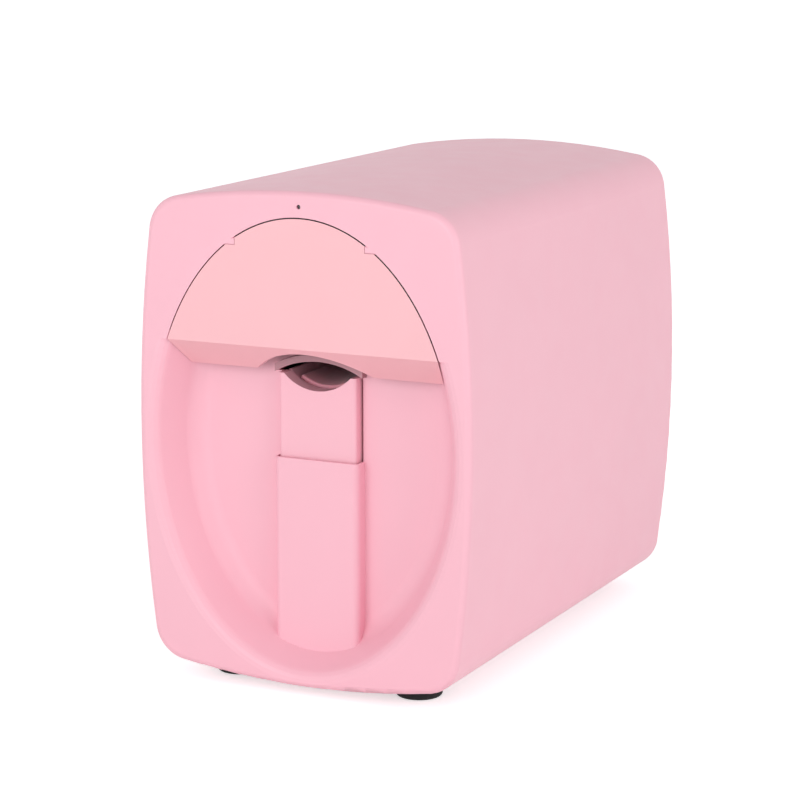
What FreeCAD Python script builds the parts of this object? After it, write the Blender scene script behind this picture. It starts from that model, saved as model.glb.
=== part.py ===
import FreeCAD, Part
import math
import os
import re
import Sketcher

from FreeCAD import Placement, Rotation, Vector

# Digital nail art printer: a barrel-shaped table printer with a flip-up front door,
# a sprung finger rest in a scooped front, and a small X-Y gantry that carries the ink cartridge.
# Frame: +X to the right of someone facing the front, front towards -Y, +Z up.
# The origin is on the table under the middle of the body. All sizes are in millimetres.

doc = FreeCAD.newDocument("nail_printer")
sheet = doc.addObject("Spreadsheet::Sheet", "sizes")

SIZES = {
    # modelling allowances: how far a cutting tool runs past the face that it opens, and how deep
    # a boss or arm starts inside the wall that it stands on
    "past": 1, "sink": 1,
    # shell
    "body_width": 162, "body_depth": 250, "body_height": 220, "ground_gap": 4,
    "side_bulge": 7.7, "crown_bulge": 7.1, "corner_radius": 16.5, "rim_round": 3, "wall": 2.5,
    # scooped front and its rim, an ellipse
    "rim_side_margin": 7.5, "rim_end_margin": 8.5, "rim_drop": 2.7,
    "bowl_depth": 21.5, "floor_side_taper": 11, "floor_end_taper": 11.5, "bowl_round": 11,
    "bowl_rise": 4, "rim_ease": 4, "ease_depth": 4, "ease_dip": 0.1,
    # door
    "door_wall": 2.5, "door_gap": 0.6, "arch_rise": 2.6, "lip_rise": 2.5, "lip_drop": 13, "lip_depth": 15.2,
    "lip_round": 0.5, "arch_radius": 46,
    "hinge_drop": 12, "hinge_setback": 1.6, "pin_radius": 1, "pin_fit": 0.05, "pin_reach": 42,
    "lug_inner": 23, "lug_outer": 31, "lug_half_height": 3.6, "lug_depth": 5.4, "hinge_clear": 2.2,
    "magnet_radius": 3, "magnet_thick": 2, "magnet_spread": 50, "magnet_rise": 10.5,
    "arm_half_width": 3, "arm_half_height": 5, "catch_gap": 0.2, "catch_thick": 2.2,
    "magnet_wall": 1, "boss_inner": 36, "boss_cover": 1.5, "boss_start": 0.5, "boss_grow": 1,
    "pin_inset": 1, "pin_end_gap": 0.5, "scallop_reach": 3, "scallop_inner": 3.4, "knuckle_gap": 0.25,
    "door_cut_extra": 3.5,
    # finger hood above the cradle
    "hood_rise": 8.9, "hood_radius": 46.5, "hood_thick": 3, "hood_half_width": 21.5,
    "hood_setback": 17.5, "hood_gap": 0.2, "hood_flange": 6, "flange_thick": 2,
    # pillar below the finger rest
    "pillar_drop": 37.5, "pillar_round": 3,
    "pillar_wall": 1.3, "pillar_cavity": 56,
    # finger rest
    "rest_half_width": 19, "rest_setback": 16.4, "rest_top": 141.5, "rest_length": 58,
    "rest_round": 1.5, "rest_slit": 1, "rest_gap": 0.4, "rest_front_gap": 1, "rest_travel": 15,
    "cradle_radius": 22.5, "cradle_depth": 7,
    "trough_height": 22, "plate_thick": 7.5, "plate_tail": 24, "pad_thick": 2.5, "pad_start": 10,
    "pad_end": 54, "pad_side_inset": 5, "pad_top_drop": 1,
    "rod_radius": 3, "rod_spread": 10, "rod_setback": 50, "rod_drop": 23.5,
    "rod_fit": 0.08, "sleeve_radius": 6, "sleeve_length": 26, "spring_radius": 4.6,
    "spring_wire": 0.7, "spring_turns": 11, "seat_height": 12,
    "seat_side": 9, "seat_half_depth": 10, "socket_floor": 3,
    # feet and tray
    "foot_radius": 10.5, "foot_height": 11, "foot_spread": 45, "rear_foot_spread": 37,
    "foot_inset": 26, "foot_round": 1.5,
    "boss_radius": 7, "tray_level": 16, "sheet_thick": 1.5,
    "tray_front": 33, "tray_rear": 12, "ear_half_width": 11, "ear_front": 16,
    # screws
    "screw_radius": 1.5, "screw_head": 2.9, "screw_head_height": 2, "foot_screw_length": 14,
    "head_recess": 1, "head_gap": 0.3, "shank_gap": 0.2, "rear_hole_depth": 12,
    "rear_screw_reach": 9, "rear_boss_length": 20, "frame_screw_inset": 12, "frame_screw_reach": 2,
    # gantry frame
    "frame_front": 33, "frame_rear": 167,
    "rail_radius": 3, "rail_drop": 6, "bridge_drop": 22, "bridge_rise": 18,
    "bridge_setback": 163,
    "flange_width": 10,
    "frame_nose": 44, "window_margin": 14, "window_front_drop": 24, "window_rear_margin": 20,
    "window_rear_drop": 8, "tab_half_height": 9, "tab_margin": 3,
    # moving beam
    "beam_setback": 101, "beam_sheet": 2, "block_depth": 28,
    "block_drop": 8, "block_rise": 2, "block_clear": 1.5, "block_width": 12, "frame_clear": 3,
    "drive_inset": 14,
    "bush_radius": 4.8, "cross_rod_radius": 3, "lower_rod_rise": 12, "upper_rod_rise": 34,
    "cross_rod_setback": 83,
    "web_rise": 18, "arm_half": 8, "arm_join": 4, "arm_thick": 12, "arm_lap": 2, "rod_end_cover": 3,
    # screw drive of the beam
    "screw_drive_drop": 20, "drive_screw_radius": 3, "nut_radius": 6,
    "nut_length": 12, "nut_setback": 16, "nut_flange": 3, "nut_flange_thick": 2,
    "motor_size": 28, "motor_length": 26, "motor_round": 3.3, "motor_bore_depth": 12,
    "motor_bore_gap": 0.5, "shaft_in_motor": 11, "shaft_radius": 2.5, "shaft_hole_gap": 0.7,
    "drive_screw_setback": 76.5, "bearing_setback": 74, "bearing_thick": 5, "bearing_half": 6,
    "bearing_floor": 2,
    # belt drive of the carriage
    "pulley_rise": 24, "pulley_radius": 6, "pulley_flange": 7.5,
    "pulley_width": 6, "belt_width": 5, "belt_thick": 1.2, "belt_gap": 0.1, "belt_setback": 95,
    "pulley_flange_thick": 1, "carriage_motor_length": 24, "shaft_end_cover": 1.2,
    "idler_pin_radius": 2, "strip_offset": 0.3, "strip_thick": 0.4, "strip_height": 8,
    # print carriage and cartridge
    "nozzle_clear": 2.6, "nose_depth": 3,
    "carriage_half_width": 15, "carriage_height": 42,
    "cheek_height": 29, "cartridge_height": 39, "latch_rise": 6.5, "cheek_thick": 1.5,
    "carriage_front": 36, "carriage_back": 74.5,
    "cartridge_half_width": 14.6,
    "latch_half_width": 8, "latch_length": 21, "latch_thick": 3,
    "carriage_back_gap": 11.5, "shelf_thick": 2, "cheek_lap": 2, "bush_thick": 1.6,
    "ear_gap": 2, "ear_half_thick": 1.5, "ear_depth": 8, "ear_rise": 4, "latch_pivot": 4,
    "latch_pin_radius": 1.2, "latch_pin_extra": 3.5, "lever_drop": 1, "toe_length": 4,
    "toe_gap": 0.2, "clamp_offset": 6, "clamp_gap": 0.3, "clamp_half_width": 3, "clamp_reach": 2,
    "jaw_thick": 1.6, "nozzle_window_half": 8, "nozzle_window_start": 9,
    "nozzle_window_length": 20, "cartridge_overhang": 1, "cartridge_gap": 0.2,
    "cartridge_toe": 3, "cartridge_toe_rise": 4, "cartridge_slope": 8, "cartridge_slope_drop": 12,
    "nose_half_width": 6, "nose_start": 11, "nose_length": 16,
    # camera, lights and capping station
    "camera_setback": 50, "camera_clear": 8.5, "board_thick": 1.6, "lens_radius": 5,
    "camera_plate_end": 12, "camera_plate_half": 15, "camera_board_half_width": 11,
    "camera_board_half_depth": 10, "lens_length": 4.4, "light_strip_start": 22,
    "light_strip_offset": 11.5, "light_strip_width": 3,
    "cap_half_width": 6, "cap_half_depth": 7, "cap_setback": 19, "cap_gap": 0.5, "cap_clear": 1,
    "cap_thick": 7.5,
    "cap_post_inset": 1, "cap_post_half_depth": 5, "cap_foot_half_depth": 14, "cap_foot_thick": 3,
    # electronics at the back
    "main_board_level": 24, "main_board_half_width": 47, "main_board_length": 54,
    "main_board_rear": 19, "panel_gap": 0.4, "panel_inset": 2.2, "rear_boss_radius": 6,
    "rear_boss_inset": 5.5, "jack_offset": -34, "jack_radius": 3.2, "port_level": 31,
    "usb_offset": -8, "button_offset": 35, "button_radius": 7, "button_gap": 0.3,
    "button_travel": 1.5, "vent_width": 60, "vent_height": 3, "vent_pitch": 8, "vent_count": 8,
    "vent_low": 120, "standoff_inset": 5, "standoff_radius": 3, "port_depth": 12, "port_gap": 0.2,
    "port_bore_depth": 10, "jack_wall": 2.8, "jack_pin_radius": 1, "jack_pin_recess": 1,
    "jack_way_gap": 2, "usb_half_width": 6.5, "usb_rise": 3.5, "usb_mouth_half": 5.5,
    "usb_mouth_drop": 2.2, "usb_mouth_rise": 2.6, "usb_way_gap": 0.5, "usb_way_half_height": 4,
    "switch_half_width": 6, "switch_back": 3, "switch_rise": 6, "button_rise": 1,
    "button_recess": 0.1, "button_rim": 1.5, "button_rim_start": 2, "button_rim_gap": 0.4,
    "stem_radius": 2.5, "stem_gap": 0.2,
    # status light
    "light_radius": 1, "light_drop": 6.6, "light_recess": 1, "light_fit": 0.02,
    "light_board_setback": 8, "light_board_half_width": 9, "light_board_half_height": 3,
    "light_post_offset": 7, "light_post_half": 1.5,
}

# Sizes and levels that follow from the sheet, so that what fits together keeps fitting.
DERIVED = {
    "rim_half_width": "body_width / 2 - rim_side_margin",
    "rim_half_height": "body_height / 2 - rim_end_margin",
    "floor_half_width": "rim_half_width - floor_side_taper",
    "floor_half_height": "rim_half_height - floor_end_taper",
    "pillar_half_width": "rest_half_width + rest_gap + pillar_wall",
    "pillar_setback": "rest_setback - rest_front_gap - pillar_wall",
    "pillar_top": "rest_top - pillar_drop",
    "rod_top": "rest_top - rod_drop",
    "hood_top": "rest_top + hood_rise",
    "arch_top": "hood_top + arch_rise",
    "lip_top": "arch_top + lip_rise",
    "magnet_height": "lip_top + magnet_rise",
    "park_offset": "rest_half_width + cap_clear + cap_half_width",
    "block_inner": "park_offset + carriage_half_width + cheek_thick + block_clear",
    "block_outer": "block_inner + block_width",
    "rail_spread": "block_inner + block_width / 2",
    "frame_half_width": "block_outer + frame_clear",
    "tray_half_width": "frame_half_width - sheet_thick",
    "screw_drive_offset": "rail_spread - drive_inset",
    "pulley_spread": "rail_spread - drive_inset",
    "nozzle_level": "hood_top + nozzle_clear",
    "carriage_low": "nozzle_level + nose_depth",
    "carriage_high": "carriage_low + carriage_height",
    "cheek_high": "carriage_low + cheek_height",
    "cartridge_high": "carriage_low + cartridge_height",
    "latch_level": "cartridge_high + latch_rise",
    "lower_rod_level": "carriage_low + lower_rod_rise",
    "upper_rod_level": "carriage_low + upper_rod_rise",
    "pulley_level": "carriage_low + pulley_rise",
    "rail_level": "carriage_low - rail_drop",
    "block_low": "rail_level - block_drop",
    "block_high": "carriage_high + block_rise",
    "screw_drive_level": "rail_level - screw_drive_drop",
    "bridge_low": "screw_drive_level - bridge_drop",
    "bridge_high": "rail_level + bridge_rise",
    "camera_plate_level": "latch_level + camera_clear",
    "frame_top": "camera_plate_level + sheet_thick",
}

# Components on the main board: left, right, and front and rear ends counted from the board's
# front edge, then the height. The capacitor is round.
BLOCK_CHIPS = {
    "processor": (-8, 8, 14, 30, 2),
    "memory": (14, 24, 14, 27, 1.2),
    "driver_x": (-30, -22, 10, 18, 1.5),
    "driver_y": (-30, -22, 24, 32, 1.5),
}
CAPACITOR = {"x": 34, "from_edge": 12, "height": 12, "radius": 5}

# Planes and points that many pieces share, as formulas of the sheet.
FRONT = "(-body_depth / 2)"
BACK = "(body_depth / 2)"
MIDDLE = "(ground_gap + body_height / 2)"
RIM_LEVEL = f"({MIDDLE} - rim_drop)"
HINGE_LEVEL = f"({RIM_LEVEL} + rim_half_height - hinge_drop)"
HINGE_Y = f"({FRONT} + hinge_setback)"
BOWL_BACK = f"({FRONT} + bowl_depth + wall)"
BOWL_TOP = "(lip_top + bowl_rise)"
TRAY_TOP = "(tray_level + sheet_thick)"
BEAM_Y = f"({FRONT} + beam_setback)"
ROD_Y = f"({FRONT} + cross_rod_setback)"
BELT_Y = f"({FRONT} + belt_setback)"
BRIDGE_Y = f"({FRONT} + bridge_setback)"
GUIDE_Y = f"({FRONT} + rod_setback)"
PANEL_Y = f"({BACK} - panel_inset - wall)"
CORNER_X = "(body_width / 2 - side_bulge)"
CORNER_Z = "(body_height / 2 - crown_bulge)"
HOOD_CENTRE = "(hood_top - hood_radius)"
HINGE_EDGE = "(rim_half_width * sqrt(1 - (1 - hinge_drop / rim_half_height) ^ 2))"

# Flat steps that round the scoop's rim off.
EASE_STEPS = 4

TURN_TO_X = Rotation(Vector(0, 1, 0), 90)
TURN_TO_Y = Rotation(Vector(1, 0, 0), -90)
NO_TURN = Rotation()

kept_parts = []


def fill_sheet():
    """Write every driving size into the sheet with its alias."""
    for row, (alias, size) in enumerate(SIZES.items(), start=1):
        sheet.set(f"A{row}", alias.replace("_", " "))
        sheet.set(f"B{row}", str(size))
        sheet.setAlias(f"B{row}", alias)
    doc.recompute()


def full(formula):
    """Turn size names in a formula into references to the sheet."""
    def refer(match):
        word = match.group(0)
        if word in DERIVED:
            return f"({full(DERIVED[word])})"
        return f"sizes.{word}" if word in SIZES else word
    return re.sub(r"[a-z][a-z_]*", refer, str(formula))


def value(formula):
    """The present value of a formula, in millimetres."""
    return float(sheet.evalExpression(full(formula)))


def bind(piece, **formulas):
    """Tie properties of a document object to formulas of the sheet."""
    for name, formula in formulas.items():
        piece.setExpression(name, full(formula))


def keep(piece, label):
    """Name a finished sub-part, which is then written to its own file."""
    piece.Label = label
    kept_parts.append(piece)
    return piece


def place(piece, x, y, z, turn=NO_TURN):
    """Put a primitive at a point given by three formulas."""
    piece.Placement = Placement(Vector(), turn)
    piece.setExpression("Placement.Base.x", full(x))
    piece.setExpression("Placement.Base.y", full(y))
    piece.setExpression("Placement.Base.z", full(z))
    return piece


def slab(name, x, y, z):
    """A rectangular block between pairs of formulas along X, Y and Z."""
    block = doc.addObject("Part::Box", name)
    bind(block, Length=f"({x[1]}) - ({x[0]})", Width=f"({y[1]}) - ({y[0]})",
         Height=f"({z[1]}) - ({z[0]})")
    return place(block, x[0], y[0], z[0])


def rod(name, axis, centre, ends, radius):
    """A round bar along an axis, centred on the other two coordinates."""
    bar = doc.addObject("Part::Cylinder", name)
    bind(bar, Radius=radius, Height=f"({ends[1]}) - ({ends[0]})")
    if axis == "x":
        return place(bar, ends[0], centre[0], centre[1], TURN_TO_X)
    if axis == "y":
        return place(bar, centre[0], ends[0], centre[1], TURN_TO_Y)
    return place(bar, centre[0], centre[1], ends[0])


def fuse(name, *pieces):
    """One solid, or one group of solids, out of several."""
    joined = doc.addObject("Part::MultiFuse", name)
    joined.Shapes = list(pieces)
    joined.Refine = True
    return joined


def cut(name, base, *tools):
    """A piece with one or more tools taken out of it."""
    result = doc.addObject("Part::Cut", name)
    result.Base = base
    result.Tool = tools[0] if len(tools) == 1 else fuse(name + "_tools", *tools)
    result.Refine = True
    return result


def common(name, first, second):
    """The space that two solids share."""
    shared = doc.addObject("Part::MultiCommon", name)
    shared.Shapes = [first, second]
    return shared


def new_body(name):
    return doc.addObject("PartDesign::Body", name)


def sketch_on(body, role, offset):
    """A sketch on one of the body's own origin planes, moved along that plane's normal."""
    sketch = body.newObject("Sketcher::SketchObject", body.Name + "_sketch")
    plane = next(item for item in body.Origin.OriginFeatures if item.Role == role)
    sketch.AttachmentSupport = [(plane, "")]
    sketch.MapMode = "FlatFace"
    sketch.setExpression("AttachmentOffset.Base.z", full(offset))
    return sketch


def front_sketch(body, y):
    """A sketch in the X-Z plane at a given Y. That plane's normal points to -Y."""
    return sketch_on(body, "XZ_Plane", f"-({y})")


def pin_point(sketch, geometry, point, x, y):
    """Tie a point of a sketch to two formulas."""
    for kind, axis, formula in (("DistanceX", -2, x), ("DistanceY", -1, y)):
        if str(formula) == "0":
            sketch.addConstraint(Sketcher.Constraint("PointOnObject", geometry, point, axis))
            continue
        index = sketch.addConstraint(
            Sketcher.Constraint(kind, -1, 1, geometry, point, value(formula)))
        sketch.setExpression(f"Constraints[{index}]", full(formula))


def arc_between(start, end, radius):
    """An arc that bulges to the right of the way from start to end."""
    chord = end - start
    depth = math.sqrt(radius ** 2 - (chord.Length / 2) ** 2)
    left = Vector(-chord.y, chord.x, 0).normalize()
    centre = (start + end) * 0.5 + left * depth
    begin = math.atan2(start.y - centre.y, start.x - centre.x)
    finish = math.atan2(end.y - centre.y, end.x - centre.x)
    return Part.ArcOfCircle(Part.Circle(centre, Vector(0, 0, 1), radius), begin, finish)


def outline(sketch, corners, radii=None):
    """A closed outline through corners, run anticlockwise. radii makes sides into arcs."""
    radii = radii or {}
    points = [Vector(value(x), value(y), 0) for x, y in corners]
    first = sketch.GeometryCount
    for number, start in enumerate(points):
        end = points[(number + 1) % len(points)]
        if number in radii:
            sketch.addGeometry(arc_between(start, end, value(radii[number])))
        else:
            sketch.addGeometry(Part.LineSegment(start, end))
    count = len(points)
    for number in range(count):
        sketch.addConstraint(Sketcher.Constraint(
            "Coincident", first + number, 2, first + (number + 1) % count, 1))
    for number, (x, y) in enumerate(corners):
        pin_point(sketch, first + number, 1, x, y)
        if number in radii:
            index = sketch.addConstraint(
                Sketcher.Constraint("Radius", first + number, value(radii[number])))
            sketch.setExpression(f"Constraints[{index}]", full(radii[number]))


def rectangle(sketch, left, right, low, high):
    outline(sketch, [(left, low), (right, low), (right, high), (left, high)])


def ellipse(sketch, centre_y, half_width, half_height):
    """An upright ellipse centred on the sketch's vertical axis."""
    middle = value(centre_y)
    sketch.addGeometry(Part.Ellipse(Vector(0, middle + value(half_height), 0),
                                    Vector(value(half_width), middle, 0), Vector(0, middle, 0)))
    sketch.exposeInternalGeometry(0)
    sketch.addConstraint(Sketcher.Constraint("Vertical", 1))
    pin_point(sketch, 0, 3, "0", centre_y)
    for line, half in ((1, half_height), (2, half_width)):
        index = sketch.addConstraint(Sketcher.Constraint("Distance", line, 2 * value(half)))
        sketch.setExpression(f"Constraints[{index}]", full(f"2 * ({half})"))


def pad(body, sketch, length, forward=False):
    """Extrude a sketch. Front sketches grow towards +Y unless forward is set."""
    feature = body.newObject("PartDesign::Pad", body.Name + "_pad")
    feature.Profile = sketch
    feature.Reversed = not forward
    bind(feature, Length=length)
    doc.recompute()
    return feature


def round_edges(body, chooses, radius):
    """Fillet the edges of the body's last feature that a test picks out."""
    base = body.Tip
    names = [f"Edge{number}" for number, edge in enumerate(base.Shape.Edges, start=1)
             if chooses(edge)]
    fillet = body.newObject("PartDesign::Fillet", body.Name + "_round")
    fillet.Base = (base, names)
    bind(fillet, Radius=radius)
    doc.recompute()
    return fillet


def runs_along(edge, axis):
    """True if an edge is a straight line along an axis vector."""
    return edge.Curve.TypeId == "Part::GeomLine" and abs(edge.Curve.Direction.dot(axis)) > 0.999


def lies_at(edge, axis, level):
    """True if a whole edge lies in the plane axis = level."""
    box = edge.BoundBox
    low, high = {"x": (box.XMin, box.XMax), "y": (box.YMin, box.YMax),
                 "z": (box.ZMin, box.ZMax)}[axis]
    return abs(low - level) < 1e-4 and abs(high - level) < 1e-4


def barrel(name, inset, start, length):
    """A length of the barrel form: four gently bulging sides with rounded corners."""
    body = new_body(name)
    sketch = front_sketch(body, start)
    x = f"({CORNER_X} - {inset})"
    z = f"({CORNER_Z} - {inset})"
    corners = [(f"-{x}", f"{MIDDLE} - {z}"), (x, f"{MIDDLE} - {z}"),
               (x, f"{MIDDLE} + {z}"), (f"-{x}", f"{MIDDLE} + {z}")]
    crown = f"({x} ^ 2 + crown_bulge ^ 2) / (2 * crown_bulge)"
    side = f"({z} ^ 2 + side_bulge ^ 2) / (2 * side_bulge)"
    outline(sketch, corners, {0: crown, 1: side, 2: crown, 3: side})
    pad(body, sketch, length)
    along = Vector(0, 1, 0)
    round_edges(body, lambda edge: runs_along(edge, along), f"corner_radius - {inset}")
    return body


def scoop(name, grow, level_of_front=FRONT):
    """The tapered, round-bottomed form of the scooped front, grown by a wall or a gap."""
    body = new_body(name)
    rim = front_sketch(body, level_of_front)
    ellipse(rim, RIM_LEVEL, f"rim_half_width + {grow}", f"rim_half_height + {grow}")
    floor = front_sketch(body, f"{FRONT} + bowl_depth + max(0; {grow})")
    ellipse(floor, RIM_LEVEL, f"floor_half_width + {grow}", f"floor_half_height + {grow}")
    loft = body.newObject("PartDesign::AdditiveLoft", name + "_loft")
    loft.Profile = floor
    loft.Sections = [rim]
    loft.Ruled = True
    doc.recompute()
    bottom = value(f"{FRONT} + bowl_depth + max(0; {grow})")
    round_edges(body, lambda edge: lies_at(edge, "y", bottom), f"bowl_round + max(0; {grow})")
    return body


def rim_prism(name, depth):
    """A straight prism on the rim's ellipse, from just before the front face."""
    body = new_body(name)
    sketch = front_sketch(body, f"{FRONT} - past")
    ellipse(sketch, RIM_LEVEL, "rim_half_width", "rim_half_height")
    pad(body, sketch, f"{depth} + past")
    return body


def rim_ease_form():
    """What softens the scoop's rim below the door: flat steps along a rounded section."""
    body = new_body("rim_ease_form")
    reaches = [(1 - step / EASE_STEPS) ** 2 for step in range(EASE_STEPS + 1)]
    depths = [(step / EASE_STEPS) ** 2 for step in range(EASE_STEPS + 1)]
    # The form starts as far in front of the face as its first step ends behind it.
    reaches[0] = 2 - reaches[1]
    depths[0] = -depths[1]
    sections = []
    for reach, depth in zip(reaches, depths):
        sketch = front_sketch(body, f"{FRONT} + ({depth}) * ease_depth")
        wider = f"{reach} * rim_ease - ({depth}) * ease_dip"
        inward = f"({depth}) * ease_depth / bowl_depth"
        ellipse(sketch, RIM_LEVEL, f"rim_half_width + {wider} - floor_side_taper * {inward}",
                f"rim_half_height + {wider} - floor_end_taper * {inward}")
        sections.append(sketch)
    loft = body.newObject("PartDesign::AdditiveLoft", "rim_ease_loft")
    loft.Profile = sections[0]
    loft.Sections = sections[1:]
    loft.Ruled = True
    doc.recompute()
    below_door = slab("below_door", ("-body_width", "body_width"), (f"{FRONT} - past", "0"),
                      ("0", "lip_top"))
    return common("rim_ease", body, below_door)


def pillar_form():
    """The rounded pillar that stands in the scoop and hides the finger rest's tail."""
    body = new_body("pillar_form")
    sketch = sketch_on(body, "XY_Plane", f"{RIM_LEVEL} - rim_half_height + 2 * wall")
    rectangle(sketch, "-pillar_half_width", "pillar_half_width",
              f"{FRONT} + pillar_setback", f"{FRONT} + bowl_depth + sink")
    height = f"pillar_top - ({RIM_LEVEL} - rim_half_height + 2 * wall)"
    pad(body, sketch, height, forward=True)
    face = value(f"{FRONT} + pillar_setback")
    up = Vector(0, 0, 1)
    round_edges(body, lambda edge: runs_along(edge, up) and lies_at(edge, "y", face),
                "pillar_round")
    top = value("pillar_top")
    round_edges(body, lambda edge: lies_at(edge, "z", top) and lies_at(edge, "y", face),
                "lip_round")
    return body


def hood_opening():
    """The way through the scoop's back for the finger rest and the hood above it."""
    slot = slab("rest_slot", ("-rest_half_width - rest_slit", "rest_half_width + rest_slit"),
                (f"{FRONT} + pillar_setback + pillar_wall", f"{BOWL_BACK} + past"),
                ("pillar_top - pillar_cavity", "rest_top + past"))
    round_top = rod("hood_round", "y", ("0", HOOD_CENTRE),
                    (f"{FRONT} + pillar_setback + pillar_wall", f"{BOWL_BACK} + past"),
                    "hood_radius + hood_gap")
    strip = slab("hood_strip", ("-hood_half_width - hood_gap", "hood_half_width + hood_gap"),
                 (f"{FRONT} + pillar_setback + pillar_wall", f"{BOWL_BACK} + past"),
                 ("rest_top", "hood_top + past"))
    return slot, common("hood_way", round_top, strip)


def corner_pairs(x, *others):
    """The same point mirrored to both sides of the middle plane."""
    return [(sign, f"{sign} * ({x})", *others) for sign in (-1, 1)]


def foot_places():
    """Name, X and Y of each of the four feet."""
    places = []
    ends = (("front", "foot_spread", f"({FRONT} + foot_inset)"),
            ("rear", "rear_foot_spread", f"({BACK} - foot_inset)"))
    for end, spread, y in ends:
        for side, sign in (("left", -1), ("right", 1)):
            places.append((f"{end}_{side}", f"({sign} * {spread})", y))
    return places


def frame_screw_places():
    """Sign of the side, X and Y of the four screws that hold the side frames to the tray."""
    x = "(frame_half_width - flange_width / 2 - sheet_thick)"
    ends = (f"({FRONT} + frame_front + frame_screw_inset)",
            f"({FRONT} + frame_rear - frame_screw_inset)")
    return [(sign, f"{sign} * {x}", y) for sign in (-1, 1) for y in ends]


def rear_screw_places():
    """X and Z of the four screws of the rear panel, near the corners."""
    x = f"({CORNER_X} - wall - rear_boss_inset)"
    z = f"({CORNER_Z} - wall - rear_boss_inset)"
    return [(f"{side} * {x}", f"{MIDDLE} + {end} * {z}") for side in (-1, 1) for end in (-1, 1)]


def hinge_knuckles(outer_form):
    """Knuckles that carry the pins and fill the door's hinge notches, flush with the front."""
    knuckles = []
    for sign in (-1, 1):
        near, far = sorted((f"{sign} * ({HINGE_EDGE} - scallop_inner + knuckle_gap)",
                            f"{sign} * (pin_reach + boss_cover)"), key=value)
        knuckles.append(rod("hinge_knuckle", "x", (HINGE_Y, HINGE_LEVEL), (near, far),
                            "hinge_clear - knuckle_gap"))
    return common("flush_knuckles", fuse("knuckles", *knuckles), outer_form)


def make_main_housing(outer_form):
    """Barrel sleeve, front wall, scoop and pillar in one moulding, open at the back."""
    cavity = barrel("cavity_form", "wall", f"{FRONT} + wall", "body_depth")
    shell = cut("shell", outer_form, cavity)
    bowl_limit = slab("bowl_limit", ("-body_width", "body_width"), (FRONT, "0"),
                      ("0", BOWL_TOP))
    bowl_wall = common("bowl_wall", scoop("scoop_outside", "wall"), bowl_limit)
    additions = []
    for sign, x in corner_pairs("magnet_spread"):
        additions.append(slab("catch_arm", (f"{x} - arm_half_width", f"{x} + arm_half_width"),
                              (f"{FRONT} + door_wall + magnet_thick + catch_gap + catch_thick",
                               BOWL_BACK),
                              ("magnet_height - 2 * arm_half_height",
                               "magnet_height + arm_half_height")))
        near, far = sorted((f"{sign} * boss_inner", f"{sign} * (pin_reach + boss_cover)"), key=value)
        additions.append(slab("hinge_boss", (near, far),
                              (f"{FRONT} + boss_start", f"{FRONT} + lug_depth + boss_grow"),
                              (f"{HINGE_LEVEL} - lug_half_height",
                               f"{HINGE_LEVEL} + lug_half_height")))
    for label, x, y in foot_places():
        additions.append(rod("foot_boss", "z", (x, y), ("ground_gap", "tray_level"), "boss_radius"))
    for x, z in rear_screw_places():
        additions.append(rod("rear_boss", "y", (x, z), (f"{PANEL_Y} - rear_boss_length", PANEL_Y),
                             "rear_boss_radius"))
    for sign, x in corner_pairs("light_post_offset"):
        additions.append(slab("light_post", (f"{x} - light_post_half", f"{x} + light_post_half"),
                              (f"{FRONT} + sink", f"{FRONT} + light_board_setback"),
                              (f"{MIDDLE} + body_height / 2 - light_drop - light_board_half_height",
                               f"{MIDDLE} + body_height / 2 - wall / 2")))
    inner_bosses = common("inner_bosses", fuse("bosses", *additions), outer_form)
    moulding = fuse("moulding", shell, bowl_wall, inner_bosses)
    door_window = common("door_window", rim_prism("door_prism", "wall + door_cut_extra"),
                         slab("door_band", ("-body_width", "body_width"), (f"{FRONT} - 2 * past", "0"),
                              (BOWL_TOP, f"{MIDDLE} + body_height / 2")))
    hollowed = cut("hollowed", moulding, scoop("scoop_inside", "0"), door_window, rim_ease_form())
    with_pillar = fuse("with_pillar", hollowed, pillar_form(), hinge_knuckles(outer_form))
    pillar_inner = "(pillar_half_width - pillar_wall)"
    holes = list(hood_opening())
    holes.append(slab("pillar_hollow", (f"-{pillar_inner}", pillar_inner),
                      (f"{FRONT} + pillar_setback + pillar_wall", f"{BOWL_BACK} + past"),
                      ("pillar_top - pillar_cavity", "pillar_top + past")))
    holes.append(rod("light_hole", "y", ("0", f"{MIDDLE} + body_height / 2 - light_drop"),
                     (f"{FRONT} - past", f"{FRONT} + wall + past"), "light_radius"))
    holes.append(rod("hinge_bore", "x", (HINGE_Y, HINGE_LEVEL), ("-pin_reach", "pin_reach"),
                     "pin_radius"))
    for label, x, y in foot_places():
        holes.append(rod("foot_hole", "z", (x, y), ("0", "tray_level + past"), "screw_radius"))
    for x, z in rear_screw_places():
        holes.append(rod("rear_hole", "y", (x, z), (f"{PANEL_Y} - rear_hole_depth", f"{PANEL_Y} + past"),
                         "screw_radius"))
    return keep(cut("main_housing", with_pillar, *holes), "main_housing")


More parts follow.
